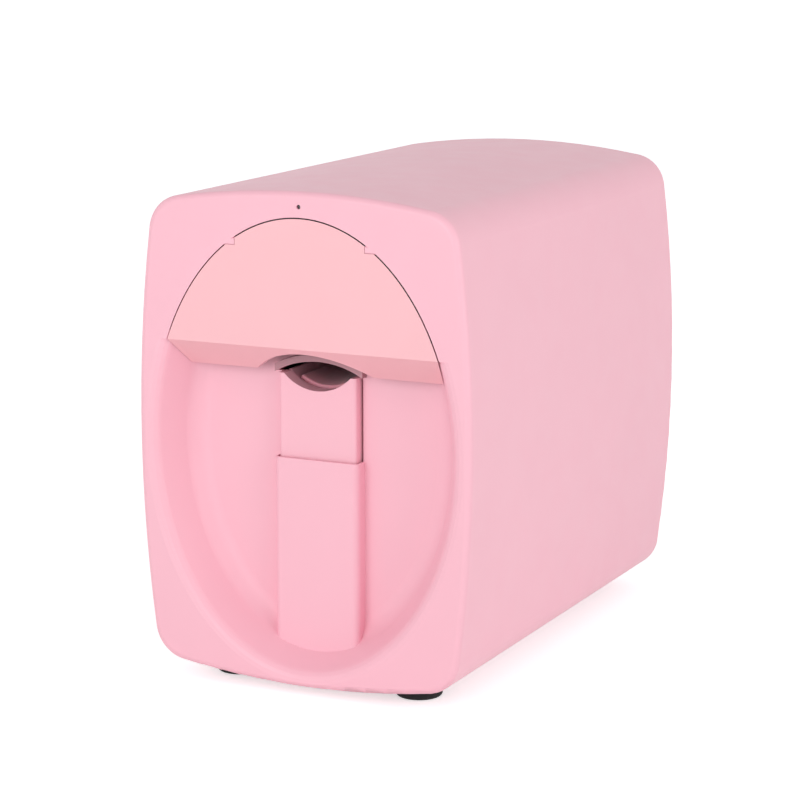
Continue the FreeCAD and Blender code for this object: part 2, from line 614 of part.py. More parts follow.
def make_front_door():
    """Flip-up visor: a thin plate that turns back into a bevelled lip, with two hinge lugs."""
    body = new_body("visor_profile")
    sketch = sketch_on(body, "YZ_Plane", "-body_width / 2")
    slope = "sqrt(lip_drop ^ 2 + lip_depth ^ 2) / lip_depth"
    top = f"({MIDDLE} + body_height / 2)"
    outline(sketch, [
        (FRONT, "lip_top"),
        (f"{FRONT} + lip_depth", "lip_top - lip_drop"),
        (f"{FRONT} + lip_depth", f"lip_top - lip_drop + door_wall * {slope}"),
        (f"{FRONT} + door_wall",
         f"lip_top - lip_drop * door_wall / lip_depth + door_wall * {slope}"),
        (f"{FRONT} + door_wall", top),
        (FRONT, top)])
    pad(body, sketch, "body_width", forward=True)
    across = Vector(1, 0, 0)
    front = value(FRONT)
    tip = value(f"{FRONT} + lip_depth")
    low = value("lip_top - lip_drop")
    round_edges(body, lambda edge: runs_along(edge, across) and (
        (lies_at(edge, "y", front) and lies_at(edge, "z", value("lip_top")))
        or (lies_at(edge, "y", tip) and lies_at(edge, "z", low))), "lip_round")
    additions = [body]
    for sign, x in corner_pairs("magnet_spread"):
        near, far = sorted((f"{sign} * lug_inner", f"{sign} * lug_outer"), key=value)
        additions.append(slab("hinge_lug", (near, far), (f"{FRONT} + sink", f"{FRONT} + lug_depth"),
                              (f"{HINGE_LEVEL} - lug_half_height",
                               f"{HINGE_LEVEL} + lug_half_height")))
        additions.append(rod("magnet_cup", "y", (x, "magnet_height"),
                             (f"{FRONT} + sink", f"{FRONT} + door_wall + magnet_thick"),
                             "magnet_radius + magnet_wall"))
    visor_with_lugs = fuse("visor_with_lugs", *additions)
    tools = [rod("arch_tool", "y", ("0", "arch_top - arch_radius"),
                 (f"{FRONT} - past", f"{FRONT} + lip_depth + past"), "arch_radius")]
    for sign, x in corner_pairs("magnet_spread"):
        near, far = sorted((f"{sign} * ({HINGE_EDGE} - scallop_inner)",
                            f"{sign} * ({HINGE_EDGE} + scallop_reach)"), key=value)
        tools.append(rod("hinge_scallop", "x", (HINGE_Y, HINGE_LEVEL), (near, far), "hinge_clear"))
        inner, outer = sorted((f"{sign} * lug_inner", f"{sign} * pin_reach"), key=value)
        tools.append(rod("door_bore", "x", (HINGE_Y, HINGE_LEVEL), (inner, outer),
                         "pin_radius + pin_fit"))
        tools.append(rod("magnet_seat", "y", (x, "magnet_height"),
                         (f"{FRONT} + door_wall", f"{FRONT} + lip_depth"), "magnet_radius"))
    bored = cut("bored_visor", visor_with_lugs, *tools)
    return keep(common("front_door", bored, scoop("visor_form", "-door_gap")), "front_door")


def make_door_hardware():
    """Steel hinge pins, door magnets and the steel plates that they hold to."""
    pins = []
    magnets = []
    plates = []
    for sign, x in corner_pairs("magnet_spread"):
        near, far = sorted((f"{sign} * (lug_inner + pin_inset)",
                            f"{sign} * (pin_reach - pin_end_gap)"), key=value)
        pins.append(rod("pin", "x", (HINGE_Y, HINGE_LEVEL), (near, far), "pin_radius"))
        magnets.append(rod("magnet", "y", (x, "magnet_height"),
                           (f"{FRONT} + door_wall", f"{FRONT} + door_wall + magnet_thick"),
                           "magnet_radius"))
        plates.append(rod("plate", "y", (x, "magnet_height"),
                          (f"{FRONT} + door_wall + magnet_thick + catch_gap",
                           f"{FRONT} + door_wall + magnet_thick + catch_gap + catch_thick"),
                          "magnet_radius"))
    keep(fuse("hinge_pins", *pins), "hinge_pins")
    keep(fuse("door_magnets", *magnets), "door_magnets")
    keep(fuse("catch_plates", *plates), "catch_plates")


def make_status_light():
    """Dark light pipe in the pinhole and the small board behind it."""
    level = f"({MIDDLE} + body_height / 2 - light_drop)"
    keep(rod("status_light_pipe", "y", ("0", level),
             (f"{FRONT} + light_recess", f"{FRONT} + light_board_setback"), "light_radius - light_fit"),
         "status_light_pipe")
    keep(slab("status_light_board", ("-light_board_half_width", "light_board_half_width"),
              (f"{FRONT} + light_board_setback", f"{FRONT} + light_board_setback + board_thick"),
              (f"{level} - light_board_half_height",
               f"{level} + light_board_half_height")), "status_light_board")


def make_finger_hood():
    """Arched bridge over the fingertip, with a flange behind the scoop's back."""
    body = new_body("hood_strip_form")
    sketch = front_sketch(body, f"{FRONT} + hood_setback")
    rectangle(sketch, "-hood_half_width", "hood_half_width", "rest_top + hood_gap", "hood_top + past")
    pad(body, sketch, f"{BOWL_BACK} + flange_thick - ({FRONT} + hood_setback)")
    ends = (f"{FRONT} + hood_setback", f"{BOWL_BACK} + flange_thick")
    outside = rod("hood_outside", "y", ("0", HOOD_CENTRE), ends, "hood_radius")
    band = common("hood_band", outside, body)
    flange_round = rod("flange_round", "y", ("0", HOOD_CENTRE),
                       (BOWL_BACK, f"{BOWL_BACK} + flange_thick"), "hood_radius + hood_flange")
    flange_strip = slab("flange_strip", ("-hood_half_width - hood_flange",
                                         "hood_half_width + hood_flange"),
                        (BOWL_BACK, f"{BOWL_BACK} + flange_thick"),
                        ("rest_top", "hood_top + hood_flange"))
    flange = common("hood_flange_form", flange_round, flange_strip)
    under = rod("hood_under", "y", ("0", HOOD_CENTRE),
                (f"{FRONT} + hood_setback - past", f"{BOWL_BACK} + flange_thick + past"),
                "hood_radius - hood_thick")
    return keep(cut("finger_hood", fuse("hood_solid", band, flange), under), "finger_hood")


def make_finger_rest():
    """Sliding finger rest: front plate, trough behind it and two guide sleeves below."""
    body = new_body("trough_form")
    sketch = front_sketch(body, f"{FRONT} + rest_setback")
    rectangle(sketch, "-rest_half_width", "rest_half_width", "rest_top - trough_height", "rest_top")
    pad(body, sketch, "rest_length")
    face = value(f"{FRONT} + rest_setback")
    plate = new_body("plate_form")
    outline_sketch = sketch_on(plate, "XY_Plane", "pillar_top - plate_tail")
    rectangle(outline_sketch, "-rest_half_width", "rest_half_width", f"{FRONT} + rest_setback",
              f"{FRONT} + rest_setback + plate_thick")
    pad(plate, outline_sketch, "rest_top - pillar_top + plate_tail", forward=True)
    up = Vector(0, 0, 1)
    round_edges(plate, lambda edge: runs_along(edge, up) and lies_at(edge, "y", face),
                "rest_round")
    behind_plate = slab("behind_plate", ("-rest_half_width", "rest_half_width"),
                        (f"{FRONT} + rest_setback + plate_thick", "0"), ("0", "rest_top"))
    solids = [plate, common("trough_behind", body, behind_plate)]
    for sign, x in corner_pairs("rod_spread"):
        solids.append(rod("sleeve", "z", (x, GUIDE_Y),
                          ("rest_top - trough_height - sleeve_length", "rest_top - trough_height"),
                          "sleeve_radius"))
    cradle_level = "(rest_top - cradle_depth + cradle_radius)"
    face_y = f"{FRONT} + rest_setback"
    tools = [rod("cradle", "y", ("0", cradle_level), (f"{face_y} - past", f"{face_y} + pad_end"),
                 "cradle_radius"),
             rod("cradle_deep", "y", ("0", cradle_level),
                 (f"{face_y} + plate_thick", f"{face_y} + pad_start"), "cradle_radius + pad_thick"),
             rod("pad_seat", "y", ("0", cradle_level),
                 (f"{face_y} + pad_start", f"{face_y} + pad_end"), "cradle_radius + pad_thick / 2")]
    for sign, x in corner_pairs("rod_spread"):
        tools.append(rod("guide_bore", "z", (x, GUIDE_Y),
                         ("rest_top - trough_height - sleeve_length - past",
                          "rod_top + rest_travel + past"), "rod_radius + rod_fit"))
    return keep(cut("finger_rest", fuse("rest_solid", *solids), *tools), "finger_rest")


def make_finger_pad():
    """Soft pad in the trough, raised a little above the cradle."""
    level = "(rest_top - cradle_depth + cradle_radius)"
    ends = (f"{FRONT} + rest_setback + pad_start", f"{FRONT} + rest_setback + pad_end")
    disc = rod("pad_outside", "y", ("0", level), ends, "cradle_radius + pad_thick / 2")
    hollow = rod("pad_inside", "y", ("0", level), ends, "cradle_radius - pad_thick / 2")
    strip = slab("pad_strip", ("-rest_half_width + pad_side_inset",
                               "rest_half_width - pad_side_inset"), ends,
                 ("rest_top - trough_height", "rest_top - pad_top_drop"))
    return keep(common("finger_pad", cut("pad_ring", disc, hollow), strip), "finger_pad")


def make_rest_guides():
    """Foot bracket on the tray, two steel guide rods and two springs round them."""
    seat_top = f"({TRAY_TOP} + seat_height)"
    base = slab("guide_base", ("-rod_spread - seat_side", "rod_spread + seat_side"),
                (f"{GUIDE_Y} - seat_half_depth", f"{GUIDE_Y} + seat_half_depth"),
                (TRAY_TOP, seat_top))
    sockets = []
    rods = []
    for sign, x in corner_pairs("rod_spread"):
        sockets.append(rod("rod_socket", "z", (x, GUIDE_Y),
                           (f"{TRAY_TOP} + socket_floor", f"{seat_top} + past"), "rod_radius"))
        rods.append(rod("guide_rod", "z", (x, GUIDE_Y), (f"{TRAY_TOP} + socket_floor", "rod_top"),
                        "rod_radius"))
    keep(cut("guide_bracket", base, *sockets), "guide_bracket")
    keep(fuse("guide_rods", *rods), "guide_rods")
    low = value(seat_top)
    high = value("rest_top - trough_height - sleeve_length")
    for side, sign in (("left", -1), ("right", 1)):
        spring = keep(doc.addObject("Part::Feature", f"rest_spring_{side}"), f"rest_spring_{side}")
        spring.Shape = coil_spring(high - low, value("spring_radius"), value("spring_wire"),
                                   value("spring_turns"))
        spring.Placement = Placement(Vector(sign * value("rod_spread"), value(GUIDE_Y), low),
                                     NO_TURN)


def coil_spring(length, radius, wire, turns):
    """A compression spring standing on Z = 0."""
    height = length - 2 * wire
    helix = Part.makeHelix(height / turns, height, radius)
    helix.translate(Vector(0, 0, wire))
    start = Vector(radius, 0, wire)
    section = Part.Wire(Part.makeCircle(wire, start, Vector(0, 1, 0)))
    return Part.Wire(helix.Edges).makePipeShell([section], True, True)


def make_feet(outer_form):
    """Four round rubber feet whose tops follow the underside of the body."""
    for label, x, y in foot_places():
        body = new_body(f"foot_form_{label}")
        sketch = sketch_on(body, "XZ_Plane", "0")
        outline(sketch, [("0", "0"), ("foot_radius", "0"), ("foot_radius", "foot_height"),
                         ("0", "foot_height")])
        turned = body.newObject("PartDesign::Revolution", f"foot_turn_{label}")
        turned.Profile = sketch
        turned.ReferenceAxis = (sketch, ["V_Axis"])
        turned.Angle = 360
        doc.recompute()
        round_edges(body, lambda edge: lies_at(edge, "z", 0), "foot_round")
        place(body, x, y, "0")
        hole = rod("foot_screw_way", "z", (x, y), ("-past", "foot_height"),
                   "screw_radius + shank_gap")
        recess = rod("foot_recess", "z", (x, y), ("-past", "screw_head_height + head_recess"),
                     "screw_head + head_gap")
        foot = cut(f"foot_{label}", body, outer_form, hole, recess)
        keep(foot, f"foot_{label}")


def screw(axis, centre, head_end, tip):
    """A pan-head screw: the head sits outside head_end, away from tip."""
    away = "-" if value(tip) > value(head_end) else "+"
    head = sorted((head_end, f"{head_end} {away} screw_head_height"), key=value)
    shank = sorted((head_end, tip), key=value)
    return fuse("screw", rod("screw_head", axis, centre, head, "screw_head"),
                rod("screw_shank", axis, centre, shank, "screw_radius"))


def make_screws():
    """The screws of the feet, rear panel and gantry frame, each kind as one group."""
    foot_screws = []
    for label, x, y in foot_places():
        foot_screws.append(screw("z", (x, y), "(screw_head_height + head_recess)",
                                 "(screw_head_height + head_recess + foot_screw_length)"))
    keep(fuse("foot_screws", *foot_screws), "foot_screws")
    panel_screws = []
    for x, z in rear_screw_places():
        panel_screws.append(screw("y", (x, z), f"({BACK} - panel_inset)",
                                  f"({PANEL_Y} - rear_screw_reach)"))
    keep(fuse("rear_panel_screws", *panel_screws), "rear_panel_screws")
    frame_screws = []
    for sign, x, y in frame_screw_places():
        frame_screws.append(screw("z", (x, y), f"({TRAY_TOP} + sheet_thick)",
                                  "(tray_level - frame_screw_reach)"))
    keep(fuse("frame_screws", *frame_screws), "frame_screws")


def make_chassis_tray():
    """Sheet steel floor of the mechanism, with two front ears over the front feet."""
    edge = f"{FRONT} + tray_front"
    plate = slab("tray_plate", ("-tray_half_width", "tray_half_width"),
                 (edge, f"{BACK} - tray_rear"), ("tray_level", TRAY_TOP))
    solids = [plate]
    for sign, x in corner_pairs("foot_spread"):
        solids.append(slab("tray_ear", (f"{x} - ear_half_width", f"{x} + ear_half_width"),
                           (f"{FRONT} + ear_front", f"{edge} + sink"), ("tray_level", TRAY_TOP)))
    through = ("tray_level - past", f"{TRAY_TOP} + past")
    holes = [rod("tray_hole", "z", (x, y), through, "screw_radius")
             for label, x, y in foot_places()]
    holes += [rod("frame_hole", "z", (x, y), through, "screw_radius")
              for sign, x, y in frame_screw_places()]
    return keep(cut("chassis_tray", fuse("tray_solid", *solids), *holes), "chassis_tray")


def make_side_frames():
    """Two sheet steel side frames that stand on the tray and carry the rails."""
    front = f"({FRONT} + frame_front)"
    rear = f"({FRONT} + frame_rear)"
    for side, sign in (("left", -1), ("right", 1)):
        body = new_body(f"frame_web_{side}")
        inner, outer = sorted((f"{sign} * frame_half_width",
                               f"{sign} * (frame_half_width - sheet_thick)"), key=value)
        sketch = sketch_on(body, "YZ_Plane", inner)
        outline(sketch, [(front, TRAY_TOP), (rear, TRAY_TOP), (rear, "bridge_high"),
                         (f"{front} + frame_nose", "frame_top"), (front, "frame_top")])
        outline(sketch, [(f"{front} + window_margin", f"{TRAY_TOP} + window_margin"),
                         (f"{front} + window_margin", "rail_level - window_front_drop"),
                         (f"{rear} - window_rear_margin", "bridge_low - window_rear_drop"),
                         (f"{rear} - window_rear_margin", f"{TRAY_TOP} + window_margin")])
        pad(body, sketch, "sheet_thick", forward=True)
        solids = [body]
        foot_span = sorted((f"{sign} * frame_half_width",
                            f"{sign} * (frame_half_width - sheet_thick - flange_width)"), key=value)
        solids.append(slab("frame_foot", foot_span, (front, rear),
                           (TRAY_TOP, f"{TRAY_TOP} + sheet_thick")))
        solids.append(slab("rail_tab", rail_tab_span(sign), (front, f"{front} + sheet_thick"),
                           ("rail_level - tab_half_height", "rail_level + tab_half_height")))
        holes = [rod("rail_seat", "y", (f"{sign} * rail_spread", "rail_level"),
                     (f"{front} - past", f"{front} + sheet_thick + past"), "rail_radius")]
        holes += [rod("frame_foot_hole", "z", (x, y), ("tray_level", f"{TRAY_TOP} + sheet_thick + past"),
                      "screw_radius") for place_sign, x, y in frame_screw_places() if place_sign == sign]
        keep(cut(f"side_frame_{side}", fuse(f"frame_{side}", *solids), *holes),
             f"side_frame_{side}")


def rail_tab_span(sign):
    """The X span of the tab that holds the front end of a rail."""
    return sorted((f"{sign} * frame_half_width", f"{sign} * (rail_spread - rail_radius - tab_margin)"),
                  key=value)


def make_rails_and_bridge():
    """Round steel rails along Y and the rear bridge that holds them and the motor."""
    rails = {}
    for side, sign in (("left", -1), ("right", 1)):
        rails[side] = rod(f"beam_rail_{side}", "y", (f"{sign} * rail_spread", "rail_level"),
                          (f"{FRONT} + frame_front", f"{BRIDGE_Y} + sheet_thick"), "rail_radius")
        keep(rails[side], f"beam_rail_{side}")
    plate = slab("bridge_plate", ("-frame_half_width + sheet_thick", "frame_half_width - sheet_thick"),
                 (BRIDGE_Y, f"{BRIDGE_Y} + sheet_thick"), ("bridge_low", "bridge_high"))
    tools = [rod("rail_hole", "y", (f"{sign} * rail_spread", "rail_level"),
                 (f"{BRIDGE_Y} - past", f"{BRIDGE_Y} + sheet_thick + past"), "rail_radius")
             for sign in (-1, 1)]
    tools.append(rod("shaft_hole", "y", ("screw_drive_offset", "screw_drive_level"),
                     (f"{BRIDGE_Y} - past", f"{BRIDGE_Y} + sheet_thick + past"), "drive_screw_radius + 1"))
    keep(cut("rear_bridge", plate, *tools), "rear_bridge")


def motor(name, centre, front, length):
    """A square stepper motor whose face is at front, with a bore for its shaft."""
    half = "motor_size / 2"
    body = new_body(name + "_form")
    sketch = front_sketch(body, front)
    rectangle(sketch, f"{centre[0]} - {half}", f"{centre[0]} + {half}",
              f"{centre[1]} - {half}", f"{centre[1]} + {half}")
    pad(body, sketch, length)
    along = Vector(0, 1, 0)
    round_edges(body, lambda edge: runs_along(edge, along), "motor_round")
    bore = rod(name + "_bore", "y", centre, (f"{front} - past", f"{front} + motor_bore_depth"),
               "drive_screw_radius + motor_bore_gap")
    return keep(cut(name, body, bore), name)


def make_beam_drive():
    """Stepper, lead screw, its front bearing and the brass nut on the beam."""
    centre = ("screw_drive_offset", "screw_drive_level")
    motor("beam_motor", centre, f"{BRIDGE_Y} + sheet_thick", "motor_length")
    keep(rod("lead_screw", "y", centre,
             (f"{FRONT} + drive_screw_setback", f"{BRIDGE_Y} + sheet_thick + shaft_in_motor"),
             "drive_screw_radius"), "lead_screw")
    bearing_y = (f"{FRONT} + bearing_setback", f"{FRONT} + bearing_setback + bearing_thick")
    block = slab("bearing_block", ("screw_drive_offset - bearing_half", "frame_half_width - sheet_thick"),
                 bearing_y, ("screw_drive_level - bearing_half", "screw_drive_level + bearing_half"))
    bore = rod("bearing_bore", "y", centre,
               (f"{bearing_y[0]} + bearing_floor", f"{bearing_y[1]} + past"),
               "drive_screw_radius + rod_fit")
    keep(cut("screw_bearing", block, bore), "screw_bearing")
    outside = rod("nut_outside", "y", centre,
                  (f"{BEAM_Y} - nut_setback", f"{BEAM_Y} - nut_setback + nut_length"), "nut_radius")
    flange = rod("nut_flange", "y", centre,
                 (f"{BEAM_Y} - nut_setback - nut_flange_thick", f"{BEAM_Y} - nut_setback"),
                 "nut_radius + nut_flange")
    thread = rod("nut_bore", "y", centre,
                 (f"{BEAM_Y} - nut_setback - nut_flange_thick - past", BEAM_Y),
                 "drive_screw_radius + rod_fit")
    keep(cut("beam_nut", fuse("nut_solid", outside, flange), thread), "beam_nut")


def make_cross_beam():
    """Aluminium beam with an end block on each rail and an arm for the brass nut."""
    front = f"({BEAM_Y} - block_depth)"
    rod_ends = ("-block_outer + rod_end_cover", "block_outer - rod_end_cover")
    web = slab("beam_web", ("-block_outer", "block_outer"), (BEAM_Y, f"{BEAM_Y} + beam_sheet"),
               ("block_low + web_rise", "block_high"))
    solids = [web]
    holes = []
    for sign in (-1, 1):
        span = sorted((f"{sign} * block_inner", f"{sign} * block_outer"), key=value)
        solids.append(slab("end_block", span, (front, f"{BEAM_Y} + beam_sheet"),
                           ("block_low", "block_high")))
        holes.append(rod("bush_seat", "y", (f"{sign} * rail_spread", "rail_level"),
                         (f"{front} - past", f"{BEAM_Y} + beam_sheet + past"), "bush_radius"))
    solids.append(slab("nut_arm", ("screw_drive_offset - arm_half", "block_inner + arm_join"),
                       (f"{BEAM_Y} - nut_setback", f"{BEAM_Y} - nut_setback + arm_thick"),
                       ("screw_drive_level - arm_half", "block_low + arm_lap")))
    for level in ("lower_rod_level", "upper_rod_level"):
        holes.append(rod("rod_seat", "x", (ROD_Y, level), rod_ends, "cross_rod_radius"))
    holes.append(rod("nut_seat", "y", ("screw_drive_offset", "screw_drive_level"),
                     (f"{BEAM_Y} - nut_setback - past", BEAM_Y), "nut_radius"))
    holes.append(rod("motor_shaft_hole", "y", ("-pulley_spread", "pulley_level"),
                     (f"{BEAM_Y} - past", f"{BEAM_Y} + beam_sheet + past"),
                     "shaft_radius + shaft_hole_gap"))
    holes.append(rod("idler_pin_hole", "y", ("pulley_spread", "pulley_level"),
                     (f"{BEAM_Y} - past", f"{BEAM_Y} + beam_sheet + past"), "idler_pin_radius"))
    keep(cut("cross_beam", fuse("beam_solid", *solids), *holes), "cross_beam")
    bushes = []
    for sign in (-1, 1):
        centre = (f"{sign} * rail_spread", "rail_level")
        bushes.append(cut("rail_bush", rod("bush_outside", "y", centre,
                                           (front, f"{BEAM_Y} + beam_sheet"), "bush_radius"),
                          rod("bush_bore", "y", centre, (f"{front} - past", f"{BEAM_Y} + beam_sheet + past"),
                              "rail_radius + rod_fit")))
    keep(fuse("rail_bushes", *bushes), "rail_bushes")
    rods = [rod("cross_rod", "x", (ROD_Y, level), rod_ends, "cross_rod_radius")
            for level in ("lower_rod_level", "upper_rod_level")]
    keep(fuse("cross_rods", *rods), "cross_rods")


def pulley(name, x, bore):
    """A flanged belt pulley on an axis along Y."""
    centre = (x, "pulley_level")
    half = "pulley_width / 2"
    drum = rod(name + "_drum", "y", centre, (f"{BELT_Y} - {half}", f"{BELT_Y} + {half}"),
               "pulley_radius")
    flanges = [rod(name + "_flange", "y", centre, (start, f"{start} + pulley_flange_thick"), "pulley_flange")
               for start in (f"{BELT_Y} - {half} - pulley_flange_thick", f"{BELT_Y} + {half}")]
    hole = rod(name + "_bore", "y", centre, (f"{BELT_Y} - pulley_width", f"{BELT_Y} + pulley_width"), bore)
    return keep(cut(name, fuse(name + "_solid", drum, *flanges), hole), name)


def make_carriage_drive():
    """Motor, two pulleys, belt and encoder strip that move the print carriage."""
    motor("carriage_motor", ("-pulley_spread", "pulley_level"), f"{BEAM_Y} + beam_sheet",
          "carriage_motor_length")
    keep(rod("motor_shaft", "y", ("-pulley_spread", "pulley_level"),
             (f"{BELT_Y} - pulley_width / 2 - shaft_end_cover",
              f"{BEAM_Y} + beam_sheet + shaft_in_motor"), "shaft_radius"),
         "motor_shaft")
    pulley("drive_pulley", "-pulley_spread", "shaft_radius")
    pulley("idler_pulley", "pulley_spread", "idler_pin_radius + rod_fit")
    keep(rod("idler_pin", "y", ("pulley_spread", "pulley_level"),
             (f"{BELT_Y} - pulley_width / 2 - shaft_end_cover", f"{BEAM_Y} + beam_sheet"),
             "idler_pin_radius"),
         "idler_pin")
    keep(cut("carriage_belt", stadium("belt_outside", "pulley_radius + belt_gap + belt_thick"),
             stadium("belt_inside", "pulley_radius + belt_gap")), "carriage_belt")
    keep(slab("encoder_strip", ("-block_inner", "block_inner"),
              (f"{BELT_Y} - strip_offset", f"{BELT_Y} - strip_offset + strip_thick"),
              ("upper_rod_level", "upper_rod_level + strip_height")), "encoder_strip")


def stadium(name, radius):
    """Two discs round the pulleys' axes joined by a block, as wide as the belt."""
    ends = (f"{BELT_Y} - belt_width / 2", f"{BELT_Y} + belt_width / 2")
    discs = [rod(name + "_disc", "y", (x, "pulley_level"), ends, radius)
             for x in ("-pulley_spread", "pulley_spread")]
    middle = slab(name + "_middle", ("-pulley_spread", "pulley_spread"), ends,
                  (f"pulley_level - ({radius})", f"pulley_level + ({radius})"))
    return fuse(name, middle, *discs)


def make_print_carriage():
    """Moulded carriage on two rods, with an open cradle for the cartridge."""
    left = "(park_offset - carriage_half_width)"
    right = "(park_offset + carriage_half_width)"
    back = f"({FRONT} + carriage_back)"
    front = f"({FRONT} + carriage_front)"
    rod_back = f"({BEAM_Y} - carriage_back_gap)"
    solids = [slab("carriage_block", (left, right), (back, rod_back),
                   ("carriage_low", "carriage_high")),
              slab("carriage_shelf", (f"{left} - cheek_thick", f"{right} + cheek_thick"),
                   (front, f"{back} + sink"), ("carriage_low", "carriage_low + shelf_thick"))]
    for sign, edge in ((-1, f"{left} - cheek_thick"), (1, right)):
        solids.append(slab("cheek", (edge, f"{edge} + cheek_thick"), (front, f"{back} + cheek_lap"),
                           ("carriage_low", "cheek_high")))
        ear = f"(park_offset + {sign} * (latch_half_width + ear_gap))"
        solids.append(slab("latch_ear", (f"{ear} - ear_half_thick", f"{ear} + ear_half_thick"),
                           (back, f"{back} + ear_depth"),
                           ("carriage_high - sink", "latch_level + ear_rise")))
    clamp_x = "(park_offset - clamp_offset)"
    run = "(pulley_level - pulley_radius - belt_gap - belt_thick / 2)"
    clamp_low = f"({run} - belt_thick / 2 - clamp_gap)"
    clamp_high = f"({run} + belt_thick / 2 + clamp_gap)"
    clamp_ends = (f"{clamp_x} - clamp_half_width", f"{clamp_x} + clamp_half_width")
    for jaw in ((f"{clamp_low} - jaw_thick", clamp_low), (clamp_high, f"{clamp_high} + jaw_thick")):
        solids.append(slab("clamp_jaw", clamp_ends, (rod_back, f"{BELT_Y} + clamp_reach"), jaw))
    holes = [slab("nozzle_window", ("park_offset - nozzle_window_half",
                                    "park_offset + nozzle_window_half"),
                  (f"{front} + nozzle_window_start",
                   f"{front} + nozzle_window_start + nozzle_window_length"),
                  ("carriage_low - past", "carriage_low + shelf_thick + past")),
             rod("latch_bore", "x", (f"{back} + latch_pivot", "latch_level"),
                 ("park_offset - carriage_half_width", "park_offset + carriage_half_width"),
                 "latch_pin_radius")]
    for level in ("lower_rod_level", "upper_rod_level"):
        holes.append(rod("bush_bore", "x", (ROD_Y, level), (f"{left} - past", f"{right} + past"),
                         "cross_rod_radius + bush_thick"))
    keep(cut("print_carriage", fuse("carriage_solid", *solids), *holes), "print_carriage")
    bushes = []
    for level in ("lower_rod_level", "upper_rod_level"):
        bushes.append(cut("rod_bush", rod("rod_bush_outside", "x", (ROD_Y, level), (left, right),
                                          "cross_rod_radius + bush_thick"),
                          rod("rod_bush_bore", "x", (ROD_Y, level), (f"{left} - past", f"{right} + past"),
                              "cross_rod_radius + rod_fit")))
    keep(fuse("carriage_bushes", *bushes), "carriage_bushes")


def make_cartridge():
    """Ink cartridge with a nozzle nose, and the lever and pin that hold it down."""
    back = f"({FRONT} + carriage_back)"
    front = f"({FRONT} + carriage_front)"
    body = new_body("cartridge_form")
    sketch = sketch_on(body, "YZ_Plane", "park_offset - cartridge_half_width")
    shelf = "(carriage_low + shelf_thick)"
    outline(sketch, [(f"{front} - cartridge_overhang", f"{shelf} + cartridge_toe_rise"),
                     (f"{front} + cartridge_toe", shelf),
                     (f"{back} - cartridge_gap", shelf),
                     (f"{back} - cartridge_gap", "cartridge_high"),
                     (f"{front} + cartridge_slope", "cartridge_high"),
                     (f"{front} - cartridge_overhang", "cartridge_high - cartridge_slope_drop")])
    pad(body, sketch, "2 * cartridge_half_width", forward=True)
    across = Vector(1, 0, 0)
    slope_foot = value("cartridge_high - cartridge_slope_drop")
    round_edges(body, lambda edge: runs_along(edge, across) and (
        edge.BoundBox.ZMin > slope_foot - 1), "rim_round / 2")
    nose = slab("nozzle_nose", ("park_offset - nose_half_width", "park_offset + nose_half_width"),
                (f"{front} + nose_start", f"{front} + nose_start + nose_length"),
                ("nozzle_level", f"{shelf} + sink"))
    keep(fuse("ink_cartridge", body, nose), "ink_cartridge")
    pivot = f"({back} + latch_pivot)"
    knuckle = rod("latch_knuckle", "x", (pivot, "latch_level"),
                  ("park_offset - latch_half_width", "park_offset + latch_half_width"),
                  "latch_thick")
    lever = slab("latch_lever", ("park_offset - latch_half_width", "park_offset + latch_half_width"),
                 (f"{pivot} - latch_length", pivot),
                 ("latch_level - lever_drop", "latch_level + latch_thick - lever_drop"))
    toe = slab("latch_toe", ("park_offset - latch_half_width", "park_offset + latch_half_width"),
               (f"{pivot} - latch_length", f"{pivot} - latch_length + toe_length"),
               ("cartridge_high + toe_gap", "latch_level"))
    bore = rod("latch_pin_bore", "x", (pivot, "latch_level"),
               ("park_offset - carriage_half_width", "park_offset + carriage_half_width"),
               "latch_pin_radius + pin_fit")
    keep(cut("cartridge_latch", fuse("latch_solid", knuckle, lever, toe), bore), "cartridge_latch")
    keep(rod("latch_pin", "x", (pivot, "latch_level"),
             ("park_offset - latch_half_width - latch_pin_extra",
              "park_offset + latch_half_width + latch_pin_extra"), "latch_pin_radius"), "latch_pin")


def make_camera():
    """Camera over the finger: bracket, board, lens and two light strips."""
    inner = "(frame_half_width - sheet_thick)"
    middle = f"({FRONT} + camera_setback)"
    level = "camera_plate_level"
    keep(slab("camera_bracket", (f"-{inner}", "camera_plate_end"),
              (f"{middle} - camera_plate_half", f"{middle} + camera_plate_half"),
              (level, f"{level} + sheet_thick")), "camera_bracket")
    keep(slab("camera_board", ("-camera_board_half_width", "camera_board_half_width"),
              (f"{middle} - camera_board_half_depth", f"{middle} + camera_board_half_depth"),
              (f"{level} - board_thick", level)), "camera_board")
    keep(rod("camera_lens", "z", ("0", middle),
             (f"{level} - board_thick - lens_length", f"{level} - board_thick"), "lens_radius"),
         "camera_lens")
    strips = [slab("light_strip", ("-light_strip_start", "camera_plate_end"),
                   (start, f"{start} + light_strip_width"), (f"{level} - board_thick", level))
              for start in (f"{middle} - light_strip_offset - light_strip_width",
                            f"{middle} + light_strip_offset")]
    keep(fuse("light_strips", *strips), "light_strips")


